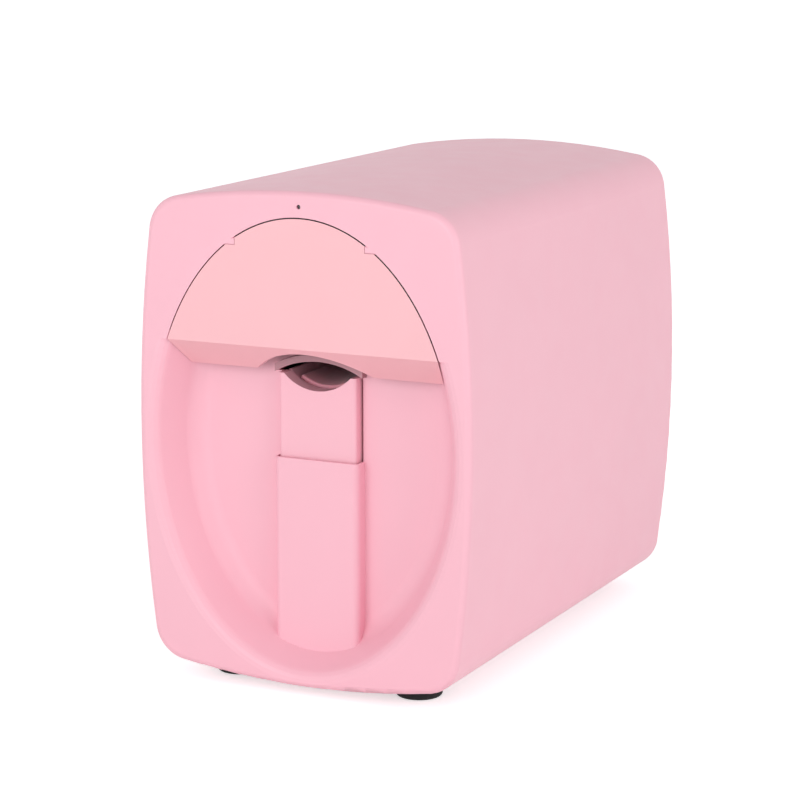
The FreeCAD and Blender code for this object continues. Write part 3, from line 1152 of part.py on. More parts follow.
def make_capping_station():
    """Post on the tray with a soft pad just under the parked nozzle."""
    middle = f"({FRONT} + carriage_front + cap_setback)"
    reach = ("park_offset - cap_half_width + cap_post_inset",
             "park_offset + cap_half_width - cap_post_inset")
    post = slab("post_column", reach,
                (f"{middle} - cap_post_half_depth", f"{middle} + cap_post_half_depth"),
                (TRAY_TOP, "nozzle_level - cap_gap - cap_thick"))
    foot = slab("cap_foot", ("park_offset - cap_half_width", "park_offset + cap_half_width"),
                (f"{middle} - cap_foot_half_depth", f"{middle} + cap_foot_half_depth"),
                (TRAY_TOP, f"{TRAY_TOP} + cap_foot_thick"))
    keep(fuse("cap_post", post, foot), "cap_post")
    keep(slab("capping_pad", ("park_offset - cap_half_width", "park_offset + cap_half_width"),
              (f"{middle} - cap_half_depth", f"{middle} + cap_half_depth"),
              ("nozzle_level - cap_gap - cap_thick", "nozzle_level - cap_gap")), "capping_pad")


def make_electronics():
    """Main board on standoffs with its components, sockets and power switch."""
    rear = f"({BACK} - main_board_rear)"
    front = f"({rear} - main_board_length)"
    top = "(main_board_level + board_thick)"
    half = "main_board_half_width"
    keep(slab("main_board", (f"-{half}", half), (front, rear), ("main_board_level", top)), "main_board")
    posts = [rod("standoff", "z", (f"{sign} * ({half} - standoff_inset)", y),
                 (TRAY_TOP, "main_board_level"), "standoff_radius")
             for sign in (-1, 1)
             for y in (f"{front} + standoff_inset", f"{rear} - standoff_inset")]
    keep(fuse("board_standoffs", *posts), "board_standoffs")
    chips = [slab(name, (left, right), (f"{front} + {start}", f"{front} + {end}"),
                  (top, f"{top} + {height}"))
             for name, (left, right, start, end, height) in BLOCK_CHIPS.items()]
    chips.append(rod("capacitor", "z", (CAPACITOR["x"], f"{front} + {CAPACITOR['from_edge']}"),
                     (top, f"{top} + {CAPACITOR['height']}"), CAPACITOR["radius"]))
    keep(fuse("board_chips", *chips), "board_chips")
    make_sockets(rear, top)
    keep(slab("power_switch", ("button_offset - switch_half_width", "button_offset + switch_half_width"),
              (f"{rear} - port_depth", f"{rear} - switch_back"), (top, "port_level + switch_rise")),
         "power_switch")


def make_sockets(rear, top):
    """Round power jack with its centre pin, and the USB socket."""
    socket_span = (f"{rear} - port_depth", f"{PANEL_Y} - port_gap")
    bore_span = (f"{PANEL_Y} - port_bore_depth", PANEL_Y)
    jack_half = "(jack_radius + jack_wall)"
    jack = slab("jack_body", (f"jack_offset - {jack_half}", f"jack_offset + {jack_half}"),
                socket_span, (top, f"port_level + {jack_half}"))
    bore = rod("jack_bore", "y", ("jack_offset", "port_level"), bore_span, "jack_radius")
    centre_pin = rod("jack_pin", "y", ("jack_offset", "port_level"),
                     (f"{PANEL_Y} - port_bore_depth - sink", f"{PANEL_Y} - jack_pin_recess"),
                     "jack_pin_radius")
    keep(fuse("power_jack", cut("jack_shell", jack, bore), centre_pin), "power_jack")
    usb = slab("usb_body", ("usb_offset - usb_half_width", "usb_offset + usb_half_width"),
               socket_span, (top, "port_level + usb_rise"))
    mouth = slab("usb_mouth", ("usb_offset - usb_mouth_half", "usb_offset + usb_mouth_half"),
                 bore_span, ("port_level - usb_mouth_drop", "port_level + usb_mouth_rise"))
    keep(cut("usb_port", usb, mouth), "usb_port")


def make_power_button():
    """Round push button in the rear panel with a stem that reaches the switch."""
    centre = ("button_offset", "port_level + button_rise")
    rear = f"({BACK} - main_board_rear)"
    outside = f"({BACK} - button_recess)"
    cap = rod("button_cap", "y", centre, (f"{PANEL_Y} - button_rim_start", outside), "button_radius")
    rim = rod("button_rim", "y", centre, (f"{PANEL_Y} - button_rim_start", f"{PANEL_Y} - button_rim_gap"),
              "button_radius + button_rim")
    stem = rod("button_stem", "y", centre,
               (f"{rear} - switch_back + button_travel + stem_gap", f"{PANEL_Y} - sink"), "stem_radius")
    keep(fuse("power_button", cap, rim, stem), "power_button")


def make_rear_panel():
    """Rear panel inside the sleeve, with vents, port openings and a button hole."""
    panel = barrel("panel_form", "(wall + panel_gap)", PANEL_Y, "wall")
    sketch = front_sketch(panel, f"{PANEL_Y} + wall")
    rectangle(sketch, "-vent_width / 2", "vent_width / 2", "vent_low", "vent_low + vent_height")
    vent = panel.newObject("PartDesign::Pocket", "vent")
    vent.Profile = sketch
    vent.Type = "ThroughAll"
    vent.Reversed = False
    vent.Midplane = True
    doc.recompute()
    rows = panel.newObject("PartDesign::LinearPattern", "vent_rows")
    rows.Originals = [vent]
    rows.Direction = (sketch, ["V_Axis"])
    bind(rows, Length="vent_pitch * (vent_count - 1)", Occurrences="vent_count")
    panel.Tip = rows
    doc.recompute()
    through = (f"{PANEL_Y} - past", f"{PANEL_Y} + wall + past")
    holes = [rod("jack_way", "y", ("jack_offset", "port_level"), through, "jack_radius + jack_way_gap"),
             slab("usb_way", ("usb_offset - usb_half_width - usb_way_gap",
                              "usb_offset + usb_half_width + usb_way_gap"), through,
                  ("port_level - usb_way_half_height", "port_level + usb_way_half_height")),
             rod("button_way", "y", ("button_offset", "port_level + button_rise"), through,
                 "button_radius + button_gap")]
    for x, z in rear_screw_places():
        holes.append(rod("panel_screw_way", "y", (x, z), through, "screw_radius"))
    keep(cut("rear_panel", panel, *holes), "rear_panel")


def check_and_export():
    """Stop on any failed object, then write each sub-part to its own STEP file."""
    doc.recompute()
    for item in doc.Objects:
        if "Invalid" in item.State or "Error" in item.State:
            raise RuntimeError(f"{item.Name} ({item.Label}) failed: {item.State}")
    os.makedirs("parts", exist_ok=True)
    for piece in kept_parts:
        shape = piece.Shape
        if shape.isNull() or not shape.isValid() or not shape.Solids:
            raise RuntimeError(f"{piece.Label} has no valid solid")
        shape.exportStep(f"parts/{piece.Label}.step")
        print(piece.Label, len(shape.Solids), round(shape.Volume, 1))


fill_sheet()
outer_form = barrel("outer_form", "0", FRONT, "body_depth")
round_edges(outer_form, lambda edge: lies_at(edge, "y", value(FRONT)) or lies_at(edge, "y", value(BACK)),
            "rim_round")
make_main_housing(outer_form)
make_rear_panel()
make_front_door()
make_door_hardware()
make_status_light()
make_finger_hood()
make_finger_rest()
make_finger_pad()
make_rest_guides()
make_feet(outer_form)
make_chassis_tray()
make_side_frames()
make_rails_and_bridge()
make_beam_drive()
make_cross_beam()
make_carriage_drive()
make_print_carriage()
make_cartridge()
make_camera()
make_capping_station()
make_electronics()
make_power_button()
make_screws()
check_and_export()
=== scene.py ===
"""Looks of a table-top digital nail art printer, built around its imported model.

Each operator finishes or models one group of pieces. Lengths are in metres in the model's own frame:
+X is to the right of someone who faces the printer, the front faces -Y, and +Z is up.
"""

import math

import bmesh
import bpy
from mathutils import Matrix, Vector


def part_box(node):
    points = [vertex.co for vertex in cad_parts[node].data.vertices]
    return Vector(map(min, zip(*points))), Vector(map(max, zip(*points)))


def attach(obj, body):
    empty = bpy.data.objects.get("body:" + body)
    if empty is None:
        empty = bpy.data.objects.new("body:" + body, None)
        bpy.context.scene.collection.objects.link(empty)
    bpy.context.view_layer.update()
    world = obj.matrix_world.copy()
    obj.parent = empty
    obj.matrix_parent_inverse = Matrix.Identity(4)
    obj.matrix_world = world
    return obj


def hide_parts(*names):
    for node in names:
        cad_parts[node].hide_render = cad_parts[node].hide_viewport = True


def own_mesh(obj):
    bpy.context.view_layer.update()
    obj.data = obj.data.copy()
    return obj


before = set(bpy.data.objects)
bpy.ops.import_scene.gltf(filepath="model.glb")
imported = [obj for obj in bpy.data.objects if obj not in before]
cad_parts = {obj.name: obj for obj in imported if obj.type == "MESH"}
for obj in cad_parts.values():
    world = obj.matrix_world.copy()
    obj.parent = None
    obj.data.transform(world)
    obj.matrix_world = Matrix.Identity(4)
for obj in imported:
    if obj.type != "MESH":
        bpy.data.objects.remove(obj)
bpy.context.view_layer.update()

bl_info = {
    "name": "Nail Art Printer",
    "version": (1, 0, 0),
    "blender": (4, 5, 0),
    "location": "3D View > Sidebar > Printer",
    "description": "Finishes and details of a table-top nail art printer, and a studio for it",
    "category": "Object",
}

MM = 0.001


# ---------------------------------------------------------------- sizes and colours

def colour_value(name, description, default):
    """A colour that a user may change."""
    return bpy.props.FloatVectorProperty(name=name, description=description, default=default,
                                         subtype="COLOR", size=3, min=0.0, max=1.0)


def length_value(name, description, default):
    """A length in metres that a user may change."""
    return bpy.props.FloatProperty(name=name, description=description, default=default,
                                   min=0.0, precision=5, unit="LENGTH", subtype="DISTANCE")


class CaseLook(bpy.types.PropertyGroup):
    """Colours and surface of the moulded case"""
    shell: colour_value("Shell", "Pink of the case and the rear panel", (0.93, 0.50, 0.59))
    door: colour_value("Door", "Slightly warmer pink of the door", (0.93, 0.505, 0.545))
    rest: colour_value("Finger rest", "Pink of the finger rest", (0.93, 0.50, 0.585))
    hood: colour_value("Hood", "Greyer pink of the finger hood", (0.50, 0.25, 0.29))
    button: colour_value("Button", "Pink of the power button", (0.86, 0.36, 0.45))
    feet: colour_value("Feet", "Black of the rubber feet", (0.006, 0.006, 0.0065))
    grain: length_value("Grain", "Size of the fine moulded grain", 0.0004)
    grain_depth: length_value("Grain depth", "Depth of the fine moulded grain", 0.000008)
    edge: length_value("Edge", "Width of the softened edges", 0.0004)


class MechanismLook(bpy.types.PropertyGroup):
    """Colours of the mechanism inside"""
    sheet: colour_value("Sheet steel", "Zinc-plated sheet steel", (0.60, 0.61, 0.62))
    rod: colour_value("Ground steel", "Rods, shafts and pins", (0.72, 0.73, 0.75))
    screw: colour_value("Screws", "Zinc-plated screws and springs", (0.50, 0.51, 0.52))
    beam: colour_value("Beam", "Machined aluminium of the beam", (0.68, 0.69, 0.70))
    brass: colour_value("Brass", "Nut and bushes", (0.75, 0.55, 0.24))
    motor: colour_value("Motor", "Black painted motor cans", (0.035, 0.035, 0.04))
    belt: colour_value("Belt", "Black rubber of the belt", (0.02, 0.02, 0.02))
    carriage: colour_value("Carriage", "Dark moulded carriage", (0.06, 0.06, 0.068))
    cartridge: colour_value("Cartridge", "Glossy ink cartridge", (0.025, 0.025, 0.03))
    board: colour_value("Board", "Green circuit board", (0.02, 0.13, 0.055))
    chip: colour_value("Chip", "Black moulded chips", (0.02, 0.02, 0.022))
    light: colour_value("Lights", "White light strips", (0.86, 0.86, 0.80))
    smoked: colour_value("Smoked", "Smoked plastic of the unlit light pipe", (0.02, 0.012, 0.014))
    yellow: colour_value("Yellow", "Faces of the small lights", (0.85, 0.72, 0.30))
    nickel: colour_value("Nickel", "Plated magnets and socket shells", (0.66, 0.65, 0.62))
    gold: colour_value("Contacts", "Gold-plated contacts", (0.80, 0.55, 0.18))
    glass: colour_value("Lens", "Dark glass of the lens", (0.02, 0.02, 0.04))
    film: colour_value("Film", "Clear film of the position strip", (0.55, 0.55, 0.52))
    silicone: colour_value("Silicone", "Finger pad and capping pad", (0.80, 0.36, 0.44))


class PieceSizes(bpy.types.PropertyGroup):
    """Sizes of the modelled pieces"""
    trough_radius: length_value("Trough radius", "Radius of the seat below the pad", 0.02375)
    pad_thickness: length_value("Pad thickness", "Thickness of the finger pad", 0.0023)
    pad_crown: length_value("Pad crown", "Rise of the finger pad's middle", 0.0006)
    screw_radius: length_value("Screw radius", "Outside of the screws' thread", 0.0015)
    screw_head_radius: length_value("Screw head radius", "Radius of the pan heads", 0.0029)
    screw_head_height: length_value("Screw head height", "Height of the pan heads", 0.002)
    spring_wire: length_value("Spring wire", "Radius of the rest springs' wire", 0.0007)
    rest_travel: length_value("Rest travel", "How far the finger rest goes down", 0.015)
    thread_lead: length_value("Thread lead", "Travel of the beam for one turn", 0.008)
    thread_depth: length_value("Thread depth", "Depth of the lead screw's thread", 0.0006)
    tooth_pitch: length_value("Tooth pitch", "Spacing of the belt's teeth", 0.002)
    tooth_height: length_value("Tooth height", "Height of the belt's teeth", 0.00045)
    belt_back: length_value("Belt back", "Thickness of the belt behind its teeth", 0.0007)
    pulley_radius: length_value("Pulley radius", "Outside of the pulleys' teeth", 0.006)
    flange_thickness: length_value("Flange thickness", "Thickness of the pulleys' flanges", 0.001)
    shaft_radius: length_value("Shaft radius", "Bore of the drive pulley", 0.0025)
    idler_bore_radius: length_value("Idler bore", "Bore of the idler pulley", 0.00208)
    capacitor_radius: length_value("Capacitor radius", "Radius of the board's capacitor", 0.005)
    capacitor_from_edge: length_value("Capacitor place", "From the board's front edge", 0.012)


FEET = ("foot_front_left", "foot_front_right", "foot_rear_left", "foot_rear_right")

# Left, right, front and back edge on the board and height in millimetres, and legs on each side.
CHIPS = (
    (-8, 8, 14, 30, 2.0, 12),
    (14, 24, 14, 27, 1.2, 9),
    (-30, -22, 10, 18, 1.5, 5),
    (-30, -22, 24, 32, 1.5, 5),
)

# Stretches of a rest spring from its foot up: turns, and how far they stand open, from 0 to 1.
SPRING_STRETCHES = ((2, 0.0), (1, 0.5), (6, 1.0), (1, 0.5), (2, 0.0))

# In wire radii: pitch of the turns that nearly touch, and how far the wire's middle starts and ends
# beyond the ground faces.
CLOSE_PITCH = 2.05
GROUND_OFF = 1.2

# Height and depth of the slope at the cartridge's upper front edge.
BROW_DROP = 12.0 * MM
BROW_DEPTH = 9.0 * MM

# Place of each lamp from the point that the camera looks at, and its width.
KEY_LAMP = ((-0.35, -1.55, 0.35), 1.2)
FILL_LAMP = ((1.45, -0.5, 0.35), 0.9)
FLOOR_WIDTH = 60.0


def power_value(name, description, default):
    """A lamp's power that a user may change."""
    return bpy.props.FloatProperty(name=name, description=description, default=default,
                                   min=0.0, unit="POWER")


def strength_value(name, description, default):
    """A light's strength that a user may change."""
    return bpy.props.FloatProperty(name=name, description=description, default=default, min=0.0)


class StudioLook(bpy.types.PropertyGroup):
    """Camera, lamps and floor"""
    azimuth: bpy.props.FloatProperty(
        name="Azimuth", description="Turn of the camera from the front to the right",
        default=math.radians(25.52), subtype="ANGLE", unit="ROTATION")
    elevation: bpy.props.FloatProperty(
        name="Elevation", description="Height of the camera above level",
        default=math.radians(11.22), subtype="ANGLE", unit="ROTATION")
    distance: length_value("Distance", "From the camera to what it looks at", 1.28)
    target: bpy.props.FloatVectorProperty(
        name="Target", description="Point that the camera looks at",
        default=(-0.0059, -0.0121, 0.1129), subtype="TRANSLATION", unit="LENGTH", precision=4)
    lens: bpy.props.FloatProperty(
        name="Lens", description="Focal length in millimetres", default=122.25, min=1.0,
        subtype="DISTANCE_CAMERA", unit="CAMERA")
    key: power_value("Key lamp", "Power of the large lamp in front on the left", 8.7)
    fill: power_value("Fill lamp", "Power of the soft lamp on the right", 6.3)
    ambient: strength_value("Ambient", "Strength of the even light at the horizon", 0.88)
    overhead: strength_value("Overhead", "Strength of the even light straight above", 0.42)
    floor: colour_value("Floor", "Plain pale floor", (0.90, 0.90, 0.90))
    floor_glow: strength_value(
        "Floor whiteness", "White that the seen floor gains, without giving light", 0.55)


# ---------------------------------------------------------------- finishes

# Cosine between a surface and its softened copy, where an edge starts to show and where it is full.
FLAT = 0.995
SHARP = 0.80

# Stretch of a noise's values that covers most of a surface.
NOISE_LOW = 0.3
NOISE_HIGH = 0.7


class Finish:
    """A material in the making: one shader, fed by patterns on the piece's own coordinates."""

    def __init__(self, name, colour, roughness, metallic=0.0, specular=0.5):
        self.material = bpy.data.materials.new(name)
        self.material.use_nodes = True
        self.tree = self.material.node_tree
        self.shader = self.tree.nodes["Principled BSDF"]
        self.colour = tuple(colour)
        self.roughness = roughness
        self.put("Base Color", (*self.colour, 1.0))
        self.put("Roughness", roughness)
        self.put("Metallic", metallic)
        self.put("Specular IOR Level", specular)
        self.place = self.node("ShaderNodeTexCoord").outputs["Object"]

    def put(self, socket, value):
        """Sets a plain value on the shader."""
        self.shader.inputs[socket].default_value = value

    def feed(self, socket, output):
        """Links a pattern to the shader."""
        self.tree.links.new(output, self.shader.inputs[socket])

    def node(self, kind, **values):
        """A new node with the given input values; an output given as a value is linked."""
        made = self.tree.nodes.new(kind)
        for name, value in values.items():
            socket = made.inputs[name.replace("_", " ").title()]
            if isinstance(value, bpy.types.NodeSocket):
                self.tree.links.new(value, socket)
            else:
                socket.default_value = value
        return made

    def stretched(self, sizes):
        """The piece's coordinates, divided by a pattern's size along each axis."""
        mapping = self.node("ShaderNodeMapping", vector=self.place,
                            scale=tuple(1.0 / size for size in sizes))
        return mapping.outputs["Vector"]

    def mottle(self, *sizes, detail=2.0):
        """Soft cloudy noise from 0 to 1, with one size or one for each axis."""
        sizes = sizes if len(sizes) == 3 else sizes * 3
        noise = self.node("ShaderNodeTexNoise", vector=self.stretched(sizes), scale=1.0,
                          detail=detail)
        return noise.outputs["Fac"]

    def cells(self, size):
        """A pattern of cells of one size."""
        return self.node("ShaderNodeTexVoronoi", vector=self.stretched((size,) * 3), scale=1.0)

    def ranged(self, output, low, high, to_low=0.0, to_high=1.0):
        """The output's stretch from low to high, as to_low to to_high."""
        made = self.node("ShaderNodeMapRange", value=output, from_min=low, from_max=high,
                         to_min=to_low, to_max=to_high)
        return made.outputs["Result"]

    def blended(self, factor, first, second):
        """One colour turning into another as the factor rises."""
        made = self.tree.nodes.new("ShaderNodeMix")
        made.data_type = "RGBA"
        self.tree.links.new(factor, made.inputs[0])
        for socket, colour in ((made.inputs[6], first), (made.inputs[7], second)):
            if isinstance(colour, bpy.types.NodeSocket):
                self.tree.links.new(colour, socket)
            else:
                socket.default_value = (*colour, 1.0)
        return made.outputs[2]

    def shade(self, amount):
        """The finish's colour, brighter or darker by an amount."""
        return tuple(min(1.0, part * (1.0 + amount)) for part in self.colour)

    def edges(self, width):
        """1 on a sharp edge and 0 away from it."""
        bevel = self.node("ShaderNodeBevel", radius=width)
        bevel.samples = 4
        geometry = self.node("ShaderNodeNewGeometry")
        compare = self.tree.nodes.new("ShaderNodeVectorMath")
        compare.operation = "DOT_PRODUCT"
        self.tree.links.new(bevel.outputs["Normal"], compare.inputs[0])
        self.tree.links.new(geometry.outputs["Normal"], compare.inputs[1])
        return self.ranged(compare.outputs["Value"], FLAT, SHARP)

    def edged(self, width, tint, wear_and_highlight_colour):
        """Colours the surface with a tint, and its sharp edges with a second colour, which stands for
        wear and dust on some finishes and for a painted highlight on others.
        """
        self.feed("Base Color", self.blended(self.edges(width), tint, wear_and_highlight_colour))

    def relief(self, *layers):
        """Bumps on the surface, given as pairs of pattern and depth, one over the other."""
        below = None
        for height, depth in layers:
            bump = self.node("ShaderNodeBump", height=height, distance=depth, strength=1.0)
            if below is not None:
                self.tree.links.new(below, bump.inputs["Normal"])
            below = bump.outputs["Normal"]
        self.feed("Normal", below)

    def dulled(self, pattern, low, high):
        """Roughness that follows a pattern from low to high."""
        self.feed("Roughness", self.ranged(pattern, NOISE_LOW, NOISE_HIGH, low, high))

    def varied(self, clouds, spread, marks, rough_spread):
        """Roughness that varies with the marks, and a tint that varies with the clouds."""
        self.dulled(marks, self.roughness - rough_spread, self.roughness + rough_spread)
        return self.blended(clouds, self.shade(-spread), self.shade(spread))


def moulded_plastic(name, colour, look, roughness=0.42, wear_and_highlight=0.10):
    """Satin moulded plastic: fine grain, a faint flow mottle, and sharp edges painted lighter, partly
    for slight wear and partly as a painted highlight.
    """
    finish = Finish(name, colour, roughness)
    tint = finish.varied(clouds=finish.mottle(45.0 * MM), spread=0.018,
                         marks=finish.mottle(12.0 * MM, detail=4.0), rough_spread=0.04)
    # Sharp edges are painted lighter by the given share: partly slight wear, partly a painted
    # highlight where edges catch the light.
    finish.edged(look.edge, tint, finish.shade(wear_and_highlight))
    finish.relief((finish.mottle(look.grain), look.grain_depth),
                  (finish.mottle(20.0 * MM), 0.02 * MM))
    return finish.material


def rubber(name, colour, roughness=0.72):
    """Dull rubber with a coarse grain and dust on its edges."""
    finish = Finish(name, colour, roughness, specular=0.35)
    tint = finish.varied(clouds=finish.mottle(4.0 * MM, detail=5.0), spread=0.35,
                         marks=finish.mottle(2.0 * MM), rough_spread=0.06)
    dust = 0.012
    finish.edged(0.6 * MM, tint, tuple(part + dust for part in finish.colour))
    finish.relief((finish.mottle(0.5 * MM, detail=3.0), 0.03 * MM))
    return finish.material


def silicone(name, colour):
    """Soft matt silicone that lets a little light in."""
    finish = Finish(name, colour, roughness=0.55, specular=0.4)
    finish.put("Subsurface Weight", 0.15)
    finish.put("Subsurface Scale", 2.0 * MM)
    finish.put("Sheen Weight", 0.2)
    finish.put("Sheen Roughness", 0.4)
    finish.feed("Base Color", finish.varied(clouds=finish.mottle(8.0 * MM), spread=0.04,
                                            marks=finish.mottle(3.0 * MM), rough_spread=0.05))
    finish.relief((finish.mottle(0.3 * MM), 0.015 * MM))
    return finish.material


def plated_sheet(name, colour):
    """Zinc-plated sheet with a faint spangle and rolling lines, bright at its cut edges."""
    finish = Finish(name, colour, roughness=0.36, metallic=1.0)
    spangle = finish.cells(6.0 * MM).outputs["Distance"]
    rolling = finish.mottle(0.4 * MM, 30.0 * MM, 0.4 * MM, detail=4.0)
    tint = finish.varied(clouds=spangle, spread=0.10, marks=rolling, rough_spread=0.08)
    finish.edged(0.4 * MM, tint, finish.shade(0.25))
    finish.relief((finish.mottle(0.3 * MM, 40.0 * MM, 0.3 * MM), 0.006 * MM))
    return finish.material


def bright_metal(name, colour, roughness, *sizes):
    """Turned, ground or brushed metal, whose fine marks have the given size on each axis."""
    finish = Finish(name, colour, roughness, metallic=1.0)
    marks = finish.mottle(*sizes, detail=4.0)
    tint = finish.varied(clouds=finish.mottle(10.0 * MM), spread=0.06, marks=marks,
                         rough_spread=min(0.06, roughness * 0.5))
    finish.edged(0.3 * MM, tint, finish.shade(0.2))
    finish.relief((marks, 0.003 * MM))
    return finish.material


def painted_can(name, colour):
    """Black painted motor can, with the faint lines of its stacked sheets."""
    finish = Finish(name, colour, roughness=0.45)
    tint = finish.varied(clouds=finish.mottle(3.0 * MM, detail=5.0), spread=0.30,
                         marks=finish.mottle(1.0 * MM), rough_spread=0.06)
    bare_steel = (0.30, 0.30, 0.31)
    finish.edged(0.4 * MM, tint, bare_steel)
    finish.relief((finish.mottle(40.0 * MM, 0.5 * MM, 40.0 * MM), 0.04 * MM))
    return finish.material


def circuit_board(name, colour):
    """Solder mask over fine copper tracks, with plated holes."""
    finish = Finish(name, colour, roughness=0.32)
    cells = finish.cells(3.5 * MM)
    cells.distance = "MANHATTAN"
    tracks = finish.ranged(cells.outputs["Distance"], low=0.46, high=0.50)
    holes = finish.ranged(cells.outputs["Distance"], low=0.11, high=0.08)
    mask = finish.blended(tracks, finish.shade(-0.25), finish.shade(0.6))
    plating = (0.62, 0.52, 0.30)
    finish.feed("Base Color", finish.blended(holes, mask, plating))
    finish.dulled(finish.mottle(4.0 * MM), low=0.26, high=0.40)
    finish.relief((tracks, 0.03 * MM), (finish.mottle(0.4 * MM), 0.004 * MM))
    return finish.material


def glossy_plastic(name, colour, wear_and_highlight=0.3):
    """Glossy moulded plastic with a few fine handling marks."""
    finish = Finish(name, colour, roughness=0.16)
    finish.put("Coat Weight", 0.3)
    finish.put("Coat Roughness", 0.08)
    handling = finish.mottle(0.6 * MM, 12.0 * MM, 4.0 * MM)
    tint = finish.varied(clouds=finish.mottle(20.0 * MM), spread=0.08, marks=handling,
                         rough_spread=0.05)
    # Sharp edges are painted lighter by the given share: partly wear, partly a painted highlight.
    finish.edged(0.3 * MM, tint, finish.shade(wear_and_highlight))
    finish.relief((finish.mottle(6.0 * MM), 0.01 * MM))
    return finish.material


def coated_glass(name, colour):
    """Dark lens glass with a coloured coating."""
    finish = Finish(name, colour, roughness=0.04, specular=0.8)
    finish.put("Coat Weight", 1.0)
    finish.put("Coat Roughness", 0.02)
    blue, violet = (0.01, 0.01, 0.03), (0.05, 0.02, 0.08)
    finish.feed("Base Color", finish.blended(finish.mottle(4.0 * MM), blue, violet))
    finish.relief((finish.mottle(10.0 * MM), 0.001 * MM))
    return finish.material


def marked_film(name, colour):
    """Clear position strip with its fine even lines."""
    finish = Finish(name, colour, roughness=0.15)
    finish.put("Alpha", 0.75)
    spacing = 0.34 * MM
    waves = finish.node("ShaderNodeTexWave", vector=finish.stretched((spacing,) * 3), scale=1.0)
    lines = finish.ranged(waves.outputs["Fac"], low=0.4, high=0.6)
    clear, dark = (0.62, 0.62, 0.58), (0.10, 0.10, 0.10)
    finish.feed("Base Color", finish.blended(lines, clear, dark))
    finish.relief((finish.mottle(20.0 * MM), 0.01 * MM))
    return finish.material


def dress(material, *names):
    """Gives CAD nodes or modelled pieces one finish."""
    for name in names:
        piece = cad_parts.get(name) or bpy.data.objects[name]
        if not piece.data.materials:
            piece.data.materials.append(material)
        for slot in piece.material_slots:
            slot.material = material


# ---------------------------------------------------------------- modelling by hand

def only(*pieces):
    """Selects these pieces and nothing else, with the first one active."""
    bpy.ops.object.select_all(action="DESELECT")
    for piece in pieces:
        piece.select_set(True)
    bpy.context.view_layer.objects.active = pieces[0]


def settle(name):
    """Names the new piece and puts its place, turn and scale into its mesh."""
    piece = bpy.context.object
    piece.name = name
    only(piece)
    bpy.ops.object.transform_apply(location=True, rotation=True, scale=True)
    return piece


def block(name, low, high):
    """A box between two corners, as the start of a piece."""
    low, high = Vector(low), Vector(high)
    bpy.ops.mesh.primitive_cube_add(size=1.0, location=(low + high) / 2, scale=high - low)
    return settle(name)


# Places nearer than this count as one, and faces count as facing a way above this cosine.
FINEST = 0.001 * MM
FACING = 0.9

# Turns that lay a bar which stands upright along an axis.
TURNS = {"Y": (-math.pi / 2, 0.0, 0.0), "Z": (0.0, 0.0, 0.0)}
UP = Vector((0.0, 0.0, 1.0))


def drum(name, axis, start, radius, length, sides=32, ends="NGON"):
    """A round bar from the middle of its first end along Y or Z, as the start of a piece."""
    start = Vector(start)
    start["XYZ".index(axis)] += length / 2
    bpy.ops.mesh.primitive_cylinder_add(vertices=sides, radius=radius, depth=length,
                                        end_fill_type=ends, location=start, rotation=TURNS[axis])
    return settle(name)


def pick(piece, kind, test):
    """Goes into edit mode with only the vertices, edges or faces that pass a test selected."""
    only(piece)
    bpy.ops.object.mode_set(mode="EDIT")
    bpy.ops.mesh.select_mode(type=kind)
    bpy.ops.mesh.select_all(action="DESELECT")
    mesh = bmesh.from_edit_mesh(piece.data)
    parts = {"VERT": mesh.verts, "EDGE": mesh.edges, "FACE": mesh.faces}[kind]
    for part in parts:
        if test(part):
            part.select_set(True)
    mesh.select_flush_mode()
    bmesh.update_edit_mesh(piece.data)


def pick_all(piece):
    """Goes into edit mode with the whole piece selected."""
    pick(piece, "VERT", lambda vertex: True)


def leave():
    """Goes back to object mode."""
    bpy.ops.object.mode_set(mode="OBJECT")


def middle(part):
    """The middle of an edge or face."""
    return sum((vertex.co for vertex in part.verts), Vector()) / len(part.verts)


def faces_towards(*direction):
    """A test for faces that point in a direction."""
    direction = Vector(direction)
    return lambda face: face.normal.dot(direction) > FACING


def faces_up_between(low, high):
    """A test for faces that look up from a level between two."""
    return lambda face: face.normal.z > FACING and low < middle(face).z < high


def edges_along(axis):
    """A test for edges that reach more than a millimetre along an axis."""
    index = "XYZ".index(axis)
    return lambda edge: abs(edge.verts[0].co[index] - edge.verts[1].co[index]) > MM


def edges_above(level):
    """A test for edges that lie wholly above a level."""
    return lambda edge: all(vertex.co.z > level for vertex in edge.verts)


def bevel_picked(width, segments):
    """Rounds the picked edges."""
    bpy.ops.mesh.bevel(offset=width, segments=segments, affect="EDGES")
    leave()


def sink_picked(border, push):
    """Insets the picked faces by a border and pushes them out, or in where the push is negative."""
    bpy.ops.mesh.inset(thickness=border, depth=0.0)
    bpy.ops.mesh.extrude_region_shrink_fatten(TRANSFORM_OT_shrink_fatten={"value": push})
    leave()


def narrow_picked(share):
    """Shrinks the picked faces to a share of their size, at their own level."""
    bpy.ops.transform.resize(value=(share, share, 1.0))
    leave()


def modified(piece, kind, **settings):
    """Adds a modifier and applies it."""
    modifier = piece.modifiers.new(kind.lower(), kind)
    for name, value in settings.items():
        setattr(modifier, name, value)
    only(piece)
    bpy.ops.object.modifier_apply(modifier=modifier.name)
    return piece


def rounded(piece, width, segments=2):
    """Rounds every sharp edge of a piece."""
    return modified(piece, "BEVEL", width=width, segments=segments, limit_method="ANGLE",
                    angle_limit=math.radians(35.0))


def copied(piece, place, turn=(0.0, 0.0, 0.0)):
    """A copy with its own mesh, turned about the origin and then moved."""
    twin = piece.copy()
    twin.data = piece.data.copy()
    bpy.context.scene.collection.objects.link(twin)
    twin.location = place
    twin.rotation_euler = turn
    only(twin)
    bpy.ops.object.transform_apply(location=True, rotation=True, scale=True)
    return twin


def discard(*pieces):
    """Removes pieces that were only used to make others."""
    for piece in pieces:
        bpy.data.objects.remove(piece)


